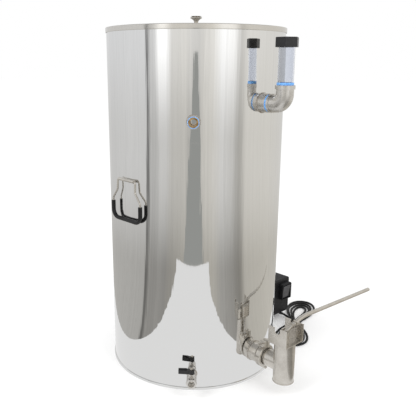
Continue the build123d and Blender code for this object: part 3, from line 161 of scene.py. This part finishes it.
def nurbs_curve(name, points, radius):
    curve = bpy.data.curves.new(name, "CURVE")
    curve.dimensions = "3D"
    spline = curve.splines.new("NURBS")
    spline.points.add(len(points) - 1)
    for spot, point in zip(spline.points, points):
        spot.co = (*point, 1)
    spline.order_u = 3
    spline.use_endpoint_u = True
    curve.resolution_u = 8
    curve.bevel_depth = radius
    curve.bevel_resolution = 6
    curve.use_fill_caps = True
    made = bpy.data.objects.new(name, curve)
    bpy.context.scene.collection.objects.link(made)
    return made


cord = nurbs_curve("power_cord", route, CORD_R)
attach(cord, "tank")
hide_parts("cord_lead", "cord_hank")


# ---------------------------------------------------------------- materials
class Paint:
    """Builds one procedural material, node by node."""

    def __init__(self, name):
        self.material = bpy.data.materials.new(name)
        self.material.use_nodes = True
        self.nodes = self.material.node_tree.nodes
        self.links = self.material.node_tree.links
        self.shader = self.nodes["Principled BSDF"]
        self.place = self.nodes.new("ShaderNodeTexCoord").outputs["Object"]

    def set(self, **values):
        for key, value in values.items():
            self.shader.inputs[key.replace("_", " ")].default_value = value
        return self

    def link(self, source, socket):
        self.links.new(source, self.shader.inputs[socket])
        return self

    def stretched(self, scale):
        node = self.nodes.new("ShaderNodeMapping")
        node.inputs["Scale"].default_value = scale
        self.links.new(self.place, node.inputs["Vector"])
        return node.outputs["Vector"]

    def noise(self, scale, detail=3.0, stretch=None, roughness=0.55):
        node = self.nodes.new("ShaderNodeTexNoise")
        node.inputs["Scale"].default_value = scale
        node.inputs["Detail"].default_value = detail
        node.inputs["Roughness"].default_value = roughness
        where = self.stretched(stretch) if stretch else self.place
        self.links.new(where, node.inputs["Vector"])
        return node.outputs["Fac"]

    def ramp(self, source, low, high, low_value, high_value):
        node = self.nodes.new("ShaderNodeMapRange")
        node.inputs["From Min"].default_value = low
        node.inputs["From Max"].default_value = high
        node.inputs["To Min"].default_value = low_value
        node.inputs["To Max"].default_value = high_value
        self.links.new(source, node.inputs["Value"])
        return node.outputs["Result"]

    def tint(self, source, low, high, first, second):
        node = self.nodes.new("ShaderNodeValToRGB")
        node.color_ramp.elements[0].position = low
        node.color_ramp.elements[1].position = high
        node.color_ramp.elements[0].color = (*first, 1)
        node.color_ramp.elements[1].color = (*second, 1)
        self.links.new(source, node.inputs["Fac"])
        return node.outputs["Color"]

    def bump(self, source, height, before=None):
        node = self.nodes.new("ShaderNodeBump")
        node.inputs["Strength"].default_value = 1.0
        node.inputs["Distance"].default_value = height
        self.links.new(source, node.inputs["Height"])
        if before is not None:
            self.links.new(before, node.inputs["Normal"])
        return node.outputs["Normal"]


def around_axis(paint, lines, rise):
    """Noise whose grain runs up the tank: it changes fast round the axis and slowly with height."""
    split = paint.nodes.new("ShaderNodeSeparateXYZ")
    paint.links.new(paint.place, split.inputs["Vector"])
    angle = paint.nodes.new("ShaderNodeMath")
    angle.operation = "ARCTAN2"
    paint.links.new(split.outputs["X"], angle.inputs[0])
    paint.links.new(split.outputs["Y"], angle.inputs[1])
    join = paint.nodes.new("ShaderNodeCombineXYZ")
    paint.links.new(angle.outputs["Value"], join.inputs["X"])
    paint.links.new(split.outputs["Z"], join.inputs["Z"])
    spread = paint.nodes.new("ShaderNodeMapping")
    spread.inputs["Scale"].default_value = (lines, 0, rise)
    paint.links.new(join.outputs["Vector"], spread.inputs["Vector"])
    node = paint.nodes.new("ShaderNodeTexNoise")
    node.inputs["Scale"].default_value = 1.0
    node.inputs["Detail"].default_value = 4.0
    node.inputs["Roughness"].default_value = 0.6
    paint.links.new(spread.outputs["Vector"], node.inputs["Vector"])
    return node.outputs["Fac"]


def polished_shell():
    p = Paint("polished_shell")
    p.set(Metallic=1.0, Base_Color=(0.80, 0.80, 0.795, 1))
    p.link(p.ramp(around_axis(p, 26, 0.6), 0.3, 0.7, 0.022, 0.045), "Roughness")
    broad = p.bump(around_axis(p, 5, 0.9), 0.0007)
    lines = p.bump(around_axis(p, 60, 0.35), 0.00002, broad)
    smears = p.bump(p.noise(3.0, 2.0), 0.00025, lines)
    p.link(smears, "Normal")
    return p.material


def polished_plate():
    p = Paint("polished_plate")
    p.set(Metallic=1.0, Base_Color=(0.68, 0.66, 0.62, 1))
    p.link(p.ramp(p.noise(40, 4), 0.3, 0.7, 0.10, 0.2), "Roughness")
    p.link(p.bump(p.noise(6, 3), 0.0008), "Normal")
    return p.material


def satin_steel():
    p = Paint("satin_steel")
    p.set(Metallic=0.92)
    grain = p.noise(420, 3, (1, 1, 0.08))
    cloud = p.noise(24, 4)
    p.link(p.tint(cloud, 0.3, 0.75, (0.53, 0.50, 0.455), (0.69, 0.66, 0.61)), "Base Color")
    p.link(p.ramp(grain, 0.3, 0.7, 0.17, 0.27), "Roughness")
    p.link(p.bump(grain, 0.00002, p.bump(cloud, 0.00012)), "Normal")
    return p.material


def cast_steel():
    p = Paint("cast_steel")
    p.set(Metallic=0.9)
    pits = p.noise(900, 4)
    cloud = p.noise(45, 4)
    p.link(p.tint(cloud, 0.3, 0.75, (0.54, 0.52, 0.49), (0.74, 0.72, 0.69)), "Base Color")
    p.link(p.ramp(cloud, 0.3, 0.7, 0.22, 0.36), "Roughness")
    p.link(p.bump(pits, 0.00002, p.bump(cloud, 0.00015)), "Normal")
    return p.material


def weld_metal():
    p = Paint("weld_metal")
    p.set(Metallic=1.0)
    heat = p.noise(140, 3)
    p.link(p.tint(heat, 0.35, 0.7, (0.34, 0.29, 0.24), (0.62, 0.60, 0.57)), "Base Color")
    p.link(p.ramp(heat, 0.3, 0.7, 0.22, 0.4), "Roughness")
    p.link(p.bump(p.noise(600, 3), 0.0001), "Normal")
    return p.material


def heated_sheath():
    p = Paint("heated_sheath")
    p.set(Metallic=1.0)
    band = p.noise(25, 4, (1, 0.3, 1))
    p.link(p.tint(band, 0.3, 0.7, (0.16, 0.13, 0.11), (0.42, 0.36, 0.30)), "Base Color")
    p.link(p.ramp(band, 0.3, 0.7, 0.35, 0.6), "Roughness")
    p.link(p.bump(p.noise(500, 3), 0.00008), "Normal")
    return p.material


def moulded(name, dark, light, rough_low, rough_high, grain, depth, shine=0.5):
    """Moulded plastic or rubber: fine-grained, with slightly uneven colour and gloss."""
    p = Paint(name)
    p.set(Specular_IOR_Level=shine)
    cloud = p.noise(35, 3)
    p.link(p.tint(cloud, 0.3, 0.75, dark, light), "Base Color")
    p.link(p.ramp(p.noise(90, 3), 0.3, 0.7, rough_low, rough_high), "Roughness")
    p.link(p.bump(p.noise(grain, 2), depth), "Normal")
    return p.material


def clear_blue():
    p = Paint("clear_blue_plastic")
    p.set(Transmission_Weight=1.0, IOR=1.25)
    flow = p.noise(14, 2, (1, 1, 0.1))
    p.link(p.tint(flow, 0.3, 0.7, (0.74, 0.76, 0.81), (0.84, 0.86, 0.89)), "Base Color")
    p.link(p.ramp(flow, 0.3, 0.7, 0.02, 0.05), "Roughness")
    p.link(p.bump(flow, 0.00005), "Normal")
    return p.material


def thread_tape():
    p = Paint("blue_tape")
    wraps = p.nodes.new("ShaderNodeTexWave")
    wraps.wave_type = "BANDS"
    wraps.bands_direction = "Z"
    wraps.inputs["Scale"].default_value = 160
    wraps.inputs["Distortion"].default_value = 6
    p.links.new(p.place, wraps.inputs["Vector"])
    cloud = p.noise(160, 4)
    p.link(p.tint(cloud, 0.3, 0.7, (0.10, 0.32, 0.78), (0.26, 0.55, 0.95)), "Base Color")
    p.set(Roughness=0.42, Subsurface_Weight=0.1, Subsurface_Radius=(0.001, 0.001, 0.002))
    p.link(p.bump(wraps.outputs["Fac"], 0.0003, p.bump(cloud, 0.0004)), "Normal")
    return p.material


def brass():
    p = Paint("brass_fitting")
    p.set(Metallic=1.0)
    cloud = p.noise(120, 4)
    p.link(p.tint(cloud, 0.3, 0.7, (0.36, 0.22, 0.09), (0.72, 0.50, 0.24)), "Base Color")
    p.link(p.ramp(cloud, 0.3, 0.7, 0.25, 0.42), "Roughness")
    p.link(p.bump(p.noise(500, 2), 0.00006), "Normal")
    return p.material


PAINTS = {
    "polished_steel": polished_plate(),
    "satin_steel": satin_steel(),
    "cast_steel": cast_steel(),
    "clear_blue_plastic": clear_blue(),
    "black_cap_plastic": moulded(
        "black_cap_plastic", (0.005, 0.005, 0.006), (0.012, 0.012, 0.013), 0.25, 0.4, 300, 0.00004
    ),
    "black_box_plastic": moulded(
        "black_box_plastic", (0.005, 0.005, 0.006), (0.012, 0.012, 0.014), 0.45, 0.62, 1400, 0.00006, 0.35
    ),
    "grey_rocker_plastic": moulded(
        "grey_rocker_plastic", (0.045, 0.045, 0.05), (0.075, 0.075, 0.08), 0.35, 0.5, 1200, 0.00005
    ),
    "blue_tape": thread_tape(),
    "grip_vinyl": moulded(
        "grip_vinyl", (0.005, 0.005, 0.005), (0.012, 0.012, 0.013), 0.34, 0.48, 240, 0.00012, 0.35
    ),
    "cord_black": moulded(
        "cord_black", (0.005, 0.005, 0.005), (0.013, 0.013, 0.014), 0.48, 0.62, 700, 0.00005, 0.22
    ),
    "seal_rubber": moulded(
        "seal_rubber", (0.62, 0.60, 0.55), (0.76, 0.75, 0.70), 0.5, 0.7, 600, 0.00005
    ),
    "ptfe_white": moulded(
        "ptfe_white", (0.80, 0.80, 0.77), (0.9, 0.9, 0.88), 0.4, 0.5, 600, 0.00003
    ),
    "brass_fitting": brass(),
    "prong_brass": brass(),
    "element_sheath": heated_sheath(),
}
SHELL_STEEL = polished_shell()
WELD = weld_metal()


def dress(thing, material):
    thing.data.materials.clear()
    thing.data.materials.append(material)
    return thing


dress(cord, PAINTS["cord_black"])
slot_of = {row["node"]: row["material_slot"] for row in frame["record"]["subparts"]}
for node_name, node in frame["nodes"].items():
    dress(node, PAINTS[slot_of[node_name]])


# ---------------------------------------------------------------- mesh helpers
def new_piece(name, mesh, body, material, smooth=True, sharp=35):
    thing = bpy.data.objects.new(name, mesh)
    bpy.context.scene.collection.objects.link(thing)
    for face in mesh.polygons:
        face.use_smooth = smooth
    if smooth:
        mesh.set_sharp_from_angle(angle=math.radians(sharp))
    dress(thing, material)
    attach(thing, body)
    return thing


def frame_of(axis):
    """Two directions square to axis and to each other."""
    axis = axis.normalized()
    first = axis.orthogonal().normalized() if abs(axis.z) > 0.9 else axis.cross(AXIS_Z).normalized()
    return first, axis.cross(first).normalized()


def lathe_mesh(name, outline, centre, axis, sides=64, closed=True):
    """Turns an outline of (radius, distance along axis) into a mesh about the axis."""
    first, second = frame_of(axis)
    axis = axis.normalized()
    shape = bmesh.new()
    rings = []
    for radius, along in outline:
        if radius < 1e-7:
            rings.append([shape.verts.new(centre + axis * along)])
            continue
        ring = []
        for k in range(sides):
            a = 2 * math.pi * k / sides
            spot = centre + axis * along + (first * math.cos(a) + second * math.sin(a)) * radius
            ring.append(shape.verts.new(spot))
        rings.append(ring)
    pairs = list(zip(rings, rings[1:]))
    if closed:
        pairs.append((rings[-1], rings[0]))
    for low, high in pairs:
        if len(low) == 1 and len(high) == 1:
            continue
        for k in range(sides):
            n = (k + 1) % sides
            corners = [low[k % len(low)], low[n % len(low)], high[n % len(high)], high[k % len(high)]]
            unique = []
            for corner in corners:
                if corner not in unique:
                    unique.append(corner)
            if len(unique) >= 3:
                shape.faces.new(unique)
    bmesh.ops.recalc_face_normals(shape, faces=shape.faces)
    mesh = bpy.data.meshes.new(name)
    shape.to_mesh(mesh)
    shape.free()
    return mesh


def tube_mesh(name, points, radius, sides=12, loop=False, ripple=None):
    """A round tube along points; ripple gives each point its own share of the radius."""
    shape = bmesh.new()
    rings = []
    count = len(points)
    side = None
    for i, point in enumerate(points):
        before = points[(i - 1) % count] if loop or i else point
        after = points[(i + 1) % count] if loop or i < count - 1 else point
        along = (after - before).normalized()
        if side is None:
            side = frame_of(along)[0]
        side = (side - along * side.dot(along)).normalized()
        other = along.cross(side)
        size = radius * (ripple[i] if ripple else 1)
        ring = []
        for k in range(sides):
            a = 2 * math.pi * k / sides
            ring.append(shape.verts.new(point + (side * math.cos(a) + other * math.sin(a)) * size))
        rings.append(ring)
    pairs = list(zip(rings, rings[1:]))
    if loop:
        pairs.append((rings[-1], rings[0]))
    for low, high in pairs:
        for k in range(sides):
            n = (k + 1) % sides
            shape.faces.new((low[k], low[n], high[n], high[k]))
    if not loop:
        shape.faces.new(rings[0][::-1])
        shape.faces.new(rings[-1])
    bmesh.ops.recalc_face_normals(shape, faces=shape.faces)
    mesh = bpy.data.meshes.new(name)
    shape.to_mesh(mesh)
    shape.free()
    return mesh


def polar(azimuth, radius, height):
    a = math.radians(azimuth)
    return Vector((radius * math.sin(a), -radius * math.cos(a), height))


def rounded(corners, radius, steps=5):
    """Points of an outline with each listed corner rounded, where corners are (r, z, round?)."""
    points = []
    count = len(corners)
    for i, (r, z, soft) in enumerate(corners):
        here = Vector((r, z))
        if not soft:
            points.append((r, z))
            continue
        before = Vector(corners[(i - 1) % count][:2])
        after = Vector(corners[(i + 1) % count][:2])
        to_before = (before - here).normalized()
        to_after = (after - here).normalized()
        cut = min(radius * soft, (before - here).length * 0.45, (after - here).length * 0.45)
        for k in range(steps + 1):
            t = k / steps
            a = here + to_before * cut
            b = here + to_after * cut
            spot = a * (1 - t) ** 2 + here * 2 * t * (1 - t) + b * t ** 2
            points.append((spot.x, spot.y))
    return points


# ---------------------------------------------------------------- tank skin and lid
shell_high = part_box("outer_shell")[1]
TOP = shell_high.z
BEAD_R = shell_high.x

skin_outline = rounded(
    [
        (SHELL_R - 0.002, 0.0, 0),
        (BEAD_R - 0.0004, 0.0, 1),
        (BEAD_R, 0.0030, 1),
        (BEAD_R - 0.0002, 0.0075, 1),
        (SHELL_R + 0.0003, 0.0088, 1),
        (SHELL_R, 0.0090, 0),
        (SHELL_R, 0.0100, 0),
        (SHELL_R, 0.30, 0),
        (SHELL_R, 0.60, 0),
        (SHELL_R, 0.90, 0),
        (SHELL_R, TOP, 0),
        (SHELL_R - 0.002, TOP, 0),
    ],
    0.0016,
)
shell_skin = new_piece(
    "shell_skin",
    lathe_mesh("shell_skin", skin_outline, Vector(), AXIS_Z, 720),
    "tank",
    SHELL_STEEL,
)
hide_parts("outer_shell")

lid_low, lid_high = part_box("lid_disc")
LID_R = lid_high.x
lid_outline = rounded(
    [
        (0.0032, lid_high.z, 0),
        (0.06, lid_high.z, 0),
        (0.26, lid_high.z - 0.0001, 0),
        (LID_R - 0.010, lid_high.z - 0.0002, 0),
        (LID_R, lid_high.z, 2.2),
        (LID_R, lid_low.z + 0.0022, 1),
        (LID_R - 0.0001, lid_low.z, 1),
        (LID_R - 0.0014, lid_low.z, 1),
        (LID_R - 0.0015, lid_high.z - 0.004, 1),
        (LID_R - 0.004, lid_high.z - 0.002, 1),
        (0.0032, lid_high.z - 0.002, 0),
    ],
    0.0012,
)
lid_skin = new_piece(
    "lid_skin",
    lathe_mesh("lid_skin", lid_outline, Vector(), AXIS_Z, 720),
    "lid",
    PAINTS["polished_steel"],
)
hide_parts("lid_disc")


# ---------------------------------------------------------------- weld beads
def weld_on_shell(name, azimuth, height, radius, bead=0.0017):
    """A rippled weld bead where a round fitting meets the curved shell."""
    points, ripple = [], []
    count = 144
    for i in range(count):
        a = 2 * math.pi * i / count
        side, rise = radius * math.cos(a), radius * math.sin(a)
        out = math.sqrt(SHELL_R ** 2 - side ** 2)
        turned = math.radians(azimuth)
        spot = Vector((side * math.cos(turned), side * math.sin(turned), height + rise))
        points.append(spot + Vector((out * math.sin(turned), -out * math.cos(turned), 0)))
        ripple.append(1 + 0.16 * math.sin(i * 2 * math.pi / 4.0) + 0.08 * math.sin(a * 3 + height * 9))
    return new_piece(
        name, tube_mesh(name, points, bead, 8, True, ripple), "tank", WELD
    )


weld_on_shell("weld_outlet", 0, 0.097, 0.0312, 0.0022)
weld_on_shell("weld_standpipe", 0, 0.883, 0.0273, 0.0022)
weld_on_shell("weld_port", -45, 0.835, 0.0188, 0.0018)
weld_on_shell("weld_drain", -45, 0.056, 0.0152, 0.0018)
weld_on_shell("weld_heater", 90, 0.085, 0.0222, 0.0020)


def ring_band(name, centre, axis, radius, width, proud, body="tank"):
    """A narrow raised band round a tube, with soft shoulders."""
    outline = rounded(
        [
            (radius - 0.0006, 0.0, 0),
            (radius + proud, 0.0, 1),
            (radius + proud, width, 1),
            (radius - 0.0006, width, 0),
        ],
        proud * 0.8,
        3,
    )
    mesh = lathe_mesh(name, outline, centre, axis, 96)
    return new_piece(name, mesh, body, PAINTS["satin_steel"])


gate_low, gate_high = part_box("gate_body")
GATE_Y = -0.400
GATE_R = 0.0325
ring_band("gate_foot_band", Vector((0, GATE_Y, gate_low.z - 0.0078)), AXIS_Z, GATE_R, 0.0040, 0.0009)
ring_band("gate_top_band", Vector((0, GATE_Y, gate_high.z - 0.0048)), AXIS_Z, GATE_R, 0.0028, 0.0008)

# the gate's spring, fixed at its upper end: a wire coil that fills the box of the CAD spring part
SPRING_TURNS, SPRING_STEPS, SPRING_WIRE_R = 8, 28, 0.0011
spring_low, spring_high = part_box("gate_spring")
spring_r = (spring_high.x - spring_low.x) / 2 - SPRING_WIRE_R
spring_foot = spring_low.z + SPRING_WIRE_R
spring_rise = spring_high.z - spring_low.z - 2 * SPRING_WIRE_R
spring_path = []
for i in range(SPRING_TURNS * SPRING_STEPS + 1):
    a = 2 * math.pi * i / SPRING_STEPS
    height = spring_foot + spring_rise * i / (SPRING_TURNS * SPRING_STEPS)
    spring_path.append(Vector((spring_r * math.cos(a), GATE_Y + spring_r * math.sin(a), height)))
spring = new_piece(
    "spring_coil",
    tube_mesh("spring_coil", spring_path, SPRING_WIRE_R, 12),
    "tank",
    PAINTS["satin_steel"],
)
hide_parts("gate_spring")
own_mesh(spring)


# ---------------------------------------------------------------- floor, light and backdrop
def flat_rectangle(name, corners):
    mesh = bpy.data.meshes.new(name)
    mesh.from_pydata([tuple(c) for c in corners], [], [tuple(range(len(corners)))])
    thing = bpy.data.objects.new(name, mesh)
    bpy.context.scene.collection.objects.link(thing)
    return thing


def glow(name, strength, colour=(1, 1, 1)):
    material = bpy.data.materials.new(name)
    material.use_nodes = True
    tree = material.node_tree
    tree.nodes.clear()
    shader = tree.nodes.new("ShaderNodeEmission")
    shader.inputs["Color"].default_value = (*colour, 1)
    shader.inputs["Strength"].default_value = strength
    out = tree.nodes.new("ShaderNodeOutputMaterial")
    tree.links.new(shader.outputs["Emission"], out.inputs["Surface"])
    return material


FLOOR_HALF, FLOOR_Z = 30, -0.0004
floor_corners = [(-1, -1), (1, -1), (1, 1), (-1, 1)]
floor = flat_rectangle("floor", [(FLOOR_HALF * x, FLOOR_HALF * y, FLOOR_Z) for x, y in floor_corners])
floor_paint = Paint("pale_floor")
floor_paint.set(Roughness=0.9, Specular_IOR_Level=0.0, Emission_Color=(1, 1, 1, 1), Emission_Strength=0.10)
floor_cloud = floor_paint.noise(2, 3)
floor_tint = floor_paint.tint(floor_cloud, 0.3, 0.7, (0.90, 0.90, 0.90), (0.92, 0.92, 0.92))
floor_paint.link(floor_tint, "Base Color")
dress(floor, floor_paint.material)
floor.visible_glossy = False

world = bpy.data.worlds.new("studio")
bpy.context.scene.world = world
world.use_nodes = True
world.node_tree.nodes["Background"].inputs["Color"].default_value = (1, 1, 1, 1)
world.node_tree.nodes["Background"].inputs["Strength"].default_value = 1.0


def surround_paint():
    """The studio round the tank as its polished steel sees it.

    Light and dark bands change with direction, and are brighter near the ceiling than near the floor.
    """
    material = bpy.data.materials.new("surround")
    material.use_nodes = True
    tree = material.node_tree
    tree.nodes.clear()

    def maths(operation, first, second=None, third=None):
        node = tree.nodes.new("ShaderNodeMath")
        node.operation = operation
        for socket, value in zip(node.inputs, (first, second, third)):
            if value is None:
                continue
            if isinstance(value, (int, float)):
                socket.default_value = value
            else:
                tree.links.new(value, socket)
        return node.outputs["Value"]

    place_node = tree.nodes.new("ShaderNodeTexCoord")
    split = tree.nodes.new("ShaderNodeSeparateXYZ")
    tree.links.new(place_node.outputs["Object"], split.inputs["Vector"])
    x, y, z = split.outputs
    angle = maths("ARCTAN2", maths("MULTIPLY", x, -1.0), y)
    share = maths("MULTIPLY_ADD", angle, 0.5 / math.pi, 0.5)
    reach = maths("SQRT", maths("ADD", maths("MULTIPLY", x, x), maths("MULTIPLY", y, y)))
    slope = maths("DIVIDE", maths("SUBTRACT", z, 0.9), maths("MAXIMUM", reach, 0.05))

    def banded(column):
        ramp_node = tree.nodes.new("ShaderNodeValToRGB")
        tree.links.new(share, ramp_node.inputs["Fac"])
        ramp = ramp_node.color_ramp
        first, last = ramp.elements[0], ramp.elements[1]
        first.position, last.position = 0.0, 1.0
        for element, row in ((first, SURROUND_BANDS[0]), (last, SURROUND_BANDS[-1])):
            element.color = (*grey(row[column], row[4] + LEVEL_WARMTH[column]), 1)
        for row in SURROUND_BANDS[1:-1]:
            element = ramp.elements.new((row[0] + 180) / 360)
            element.color = (*grey(row[column], row[4] + LEVEL_WARMTH[column]), 1)
        return ramp_node.outputs["Color"]

    def blended(first, second, low, high):
        share_node = tree.nodes.new("ShaderNodeMapRange")
        share_node.interpolation_type = "SMOOTHSTEP"
        share_node.inputs["From Min"].default_value = low
        share_node.inputs["From Max"].default_value = high
        tree.links.new(slope, share_node.inputs["Value"])
        mix = tree.nodes.new("ShaderNodeMix")
        mix.data_type = "RGBA"
        tree.links.new(share_node.outputs["Result"], mix.inputs["Factor"])
        tree.links.new(first, mix.inputs["A"])
        tree.links.new(second, mix.inputs["B"])
        return mix.outputs["Result"]

    streak = tree.nodes.new("ShaderNodeTexNoise")
    streak.noise_dimensions = "1D"
    streak.inputs["Scale"].default_value = 150
    streak.inputs["Detail"].default_value = 5
    tree.links.new(share, streak.inputs["W"])
    streaks = maths("MULTIPLY_ADD", streak.outputs["Fac"], 0.22, 0.89)

    lower = blended(banded(3), banded(2), -0.70, -0.18)
    whole = blended(lower, banded(1), -0.16, 0.10)
    shader = tree.nodes.new("ShaderNodeEmission")
    tree.links.new(whole, shader.inputs["Color"])
    tree.links.new(maths("MULTIPLY", streaks, 1.25), shader.inputs["Strength"])
    out = tree.nodes.new("ShaderNodeOutputMaterial")
    tree.links.new(shader.outputs["Emission"], out.inputs["Surface"])
    return material


def grey(value, warm=0.0):
    return (value * (1 + 0.5 * warm), value, value * (1 - 1.1 * warm))


# For directions from the tank in degrees, zero towards the camera and positive to the camera's right:
# how bright the room is near the ceiling, at mid-height and near the floor, and how warm it is.
SURROUND_BANDS = [
    (-180, 0.62, 0.52, 0.40, 0.0),
    (-132, 0.62, 0.52, 0.38, -0.01),
    (-95, 0.65, 0.56, 0.38, -0.01),
    (-63.5, 0.66, 0.55, 0.36, -0.01),
    (-62, 0.20, 0.18, 0.13, 0.0),
    (-60, 0.20, 0.18, 0.13, 0.0),
    (-57, 0.60, 0.46, 0.26, 0.0),
    (-50, 0.66, 0.42, 0.24, 0.0),
    (-45, 1.10, 0.54, 0.27, 0.0),
    (-36, 1.10, 0.54, 0.24, 0.0),
    (-29, 0.67, 0.47, 0.26, 0.03),
    (-13, 0.68, 0.48, 0.32, 0.04),
    (-5, 0.66, 0.40, 0.30, 0.03),
    (4, 0.60, 0.39, 0.28, 0.03),
    (9, 0.64, 0.52, 0.32, 0.04),
    (20, 0.74, 0.55, 0.38, 0.04),
    (32, 1.02, 0.60, 0.31, 0.0),
    (46, 0.98, 0.52, 0.26, 0.01),
    (56, 0.54, 0.36, 0.20, 0.04),
    (65, 0.68, 0.57, 0.40, 0.04),
    (105, 0.64, 0.58, 0.45, 0.04),
    (180, 0.62, 0.52, 0.40, 0.0),
]
LEVEL_WARMTH = {1: 0.0, 2: 0.02, 3: 0.05}  # added for each level, ceiling to floor

STUDIO_R = 6.0
STUDIO_H = 5.0
wall_points, wall_faces = [], []
for k in range(96):
    a = 2 * math.pi * k / 96
    wall_points.append((STUDIO_R * math.sin(a), STUDIO_R * math.cos(a), -0.02))
    wall_points.append((STUDIO_R * math.sin(a), STUDIO_R * math.cos(a), STUDIO_H))
for k in range(96):
    n = (k + 1) % 96
    wall_faces.append((2 * k, 2 * n, 2 * n + 1, 2 * k + 1))
wall_points.append((0, 0, -0.02))
for k in range(96):
    wall_faces.append((2 * ((k + 1) % 96), 2 * k, 192))
wall_mesh = bpy.data.meshes.new("surround")
wall_mesh.from_pydata(wall_points, [], wall_faces)
surround = bpy.data.objects.new("surround", wall_mesh)
bpy.context.scene.collection.objects.link(surround)
# turned so that +Y points from the tank to the camera and +X to the camera's left
TO_CAMERA = (0, 0, math.pi + CAMERA_AZIMUTH)
surround.rotation_euler = TO_CAMERA
dress(surround, surround_paint())

# a white sheet on the floor that runs from behind the tank towards the camera
strip = flat_rectangle(
    "floor_strip",
    [
        (0.50, -3.0, -0.001),
        (-0.50, -3.0, -0.001),
        (-0.50, -0.2, -0.001),
        (-0.41, 0.15, -0.001),
        (-0.38, 0.50, -0.001),
        (-0.34, 0.95, -0.001),
        (-0.40, 1.40, -0.001),
        (0.54, 1.40, -0.001),
        (0.46, 0.95, -0.001),
        (0.44, 0.50, -0.001),
        (0.45, 0.15, -0.001),
        (0.50, -0.2, -0.001),
    ],
)
strip.rotation_euler = TO_CAMERA
dress(strip, glow("strip_glow", 0.86))

# a darker aisle beyond the sheet, towards the camera
aisle = flat_rectangle(
    "floor_aisle",
    [(0.34, 1.41, -0.002), (-0.26, 1.41, -0.002), (-0.70, 5.9, -0.002), (0.70, 5.9, -0.002)],
)
aisle.rotation_euler = TO_CAMERA
dress(aisle, glow("aisle_glow", 0.35, (0.98, 1.0, 0.96)))

# the gap in the room's far end that the aisle leads to
gap = flat_rectangle("far_gap", [(-0.70, 5.9, 0), (0.70, 5.9, 0), (0.12, 5.9, 1.12), (-0.12, 5.9, 1.12)])
gap.rotation_euler = TO_CAMERA
dress(gap, glow("gap_glow", 0.35, (0.98, 1.0, 0.96)))

ceiling = flat_rectangle("ceiling", [(-7, -7, 5.0), (-7, 7, 5.0), (7, 7, 5.0), (7, -7, 5.0)])
dress(ceiling, glow("ceiling_glow", 0.5))

for thing in (surround, strip, aisle, gap, ceiling):
    thing.visible_camera = False
    thing.visible_diffuse = False
    thing.visible_shadow = False
    thing.visible_transmission = False


def soft_light(name, azimuth, distance, height, size, power, target=(0, 0, 0.5)):
    data = bpy.data.lights.new(name, "AREA")
    data.shape = "RECTANGLE"
    data.size, data.size_y = size
    data.energy = power
    light = bpy.data.objects.new(name, data)
    bpy.context.scene.collection.objects.link(light)
    light.location = polar(math.degrees(CAMERA_AZIMUTH) + azimuth, distance, height)
    look = Vector(target) - light.location
    light.rotation_euler = look.to_track_quat("-Z", "Y").to_euler()
    light.visible_glossy = False
    light.visible_camera = False
    return light


soft_light("key_left", -50, 2.6, 2.4, (1.6, 1.6), 30)
soft_light("key_right", 45, 2.6, 2.2, (1.6, 1.6), 22)

bpy.context.scene.view_settings.view_transform = "Standard"
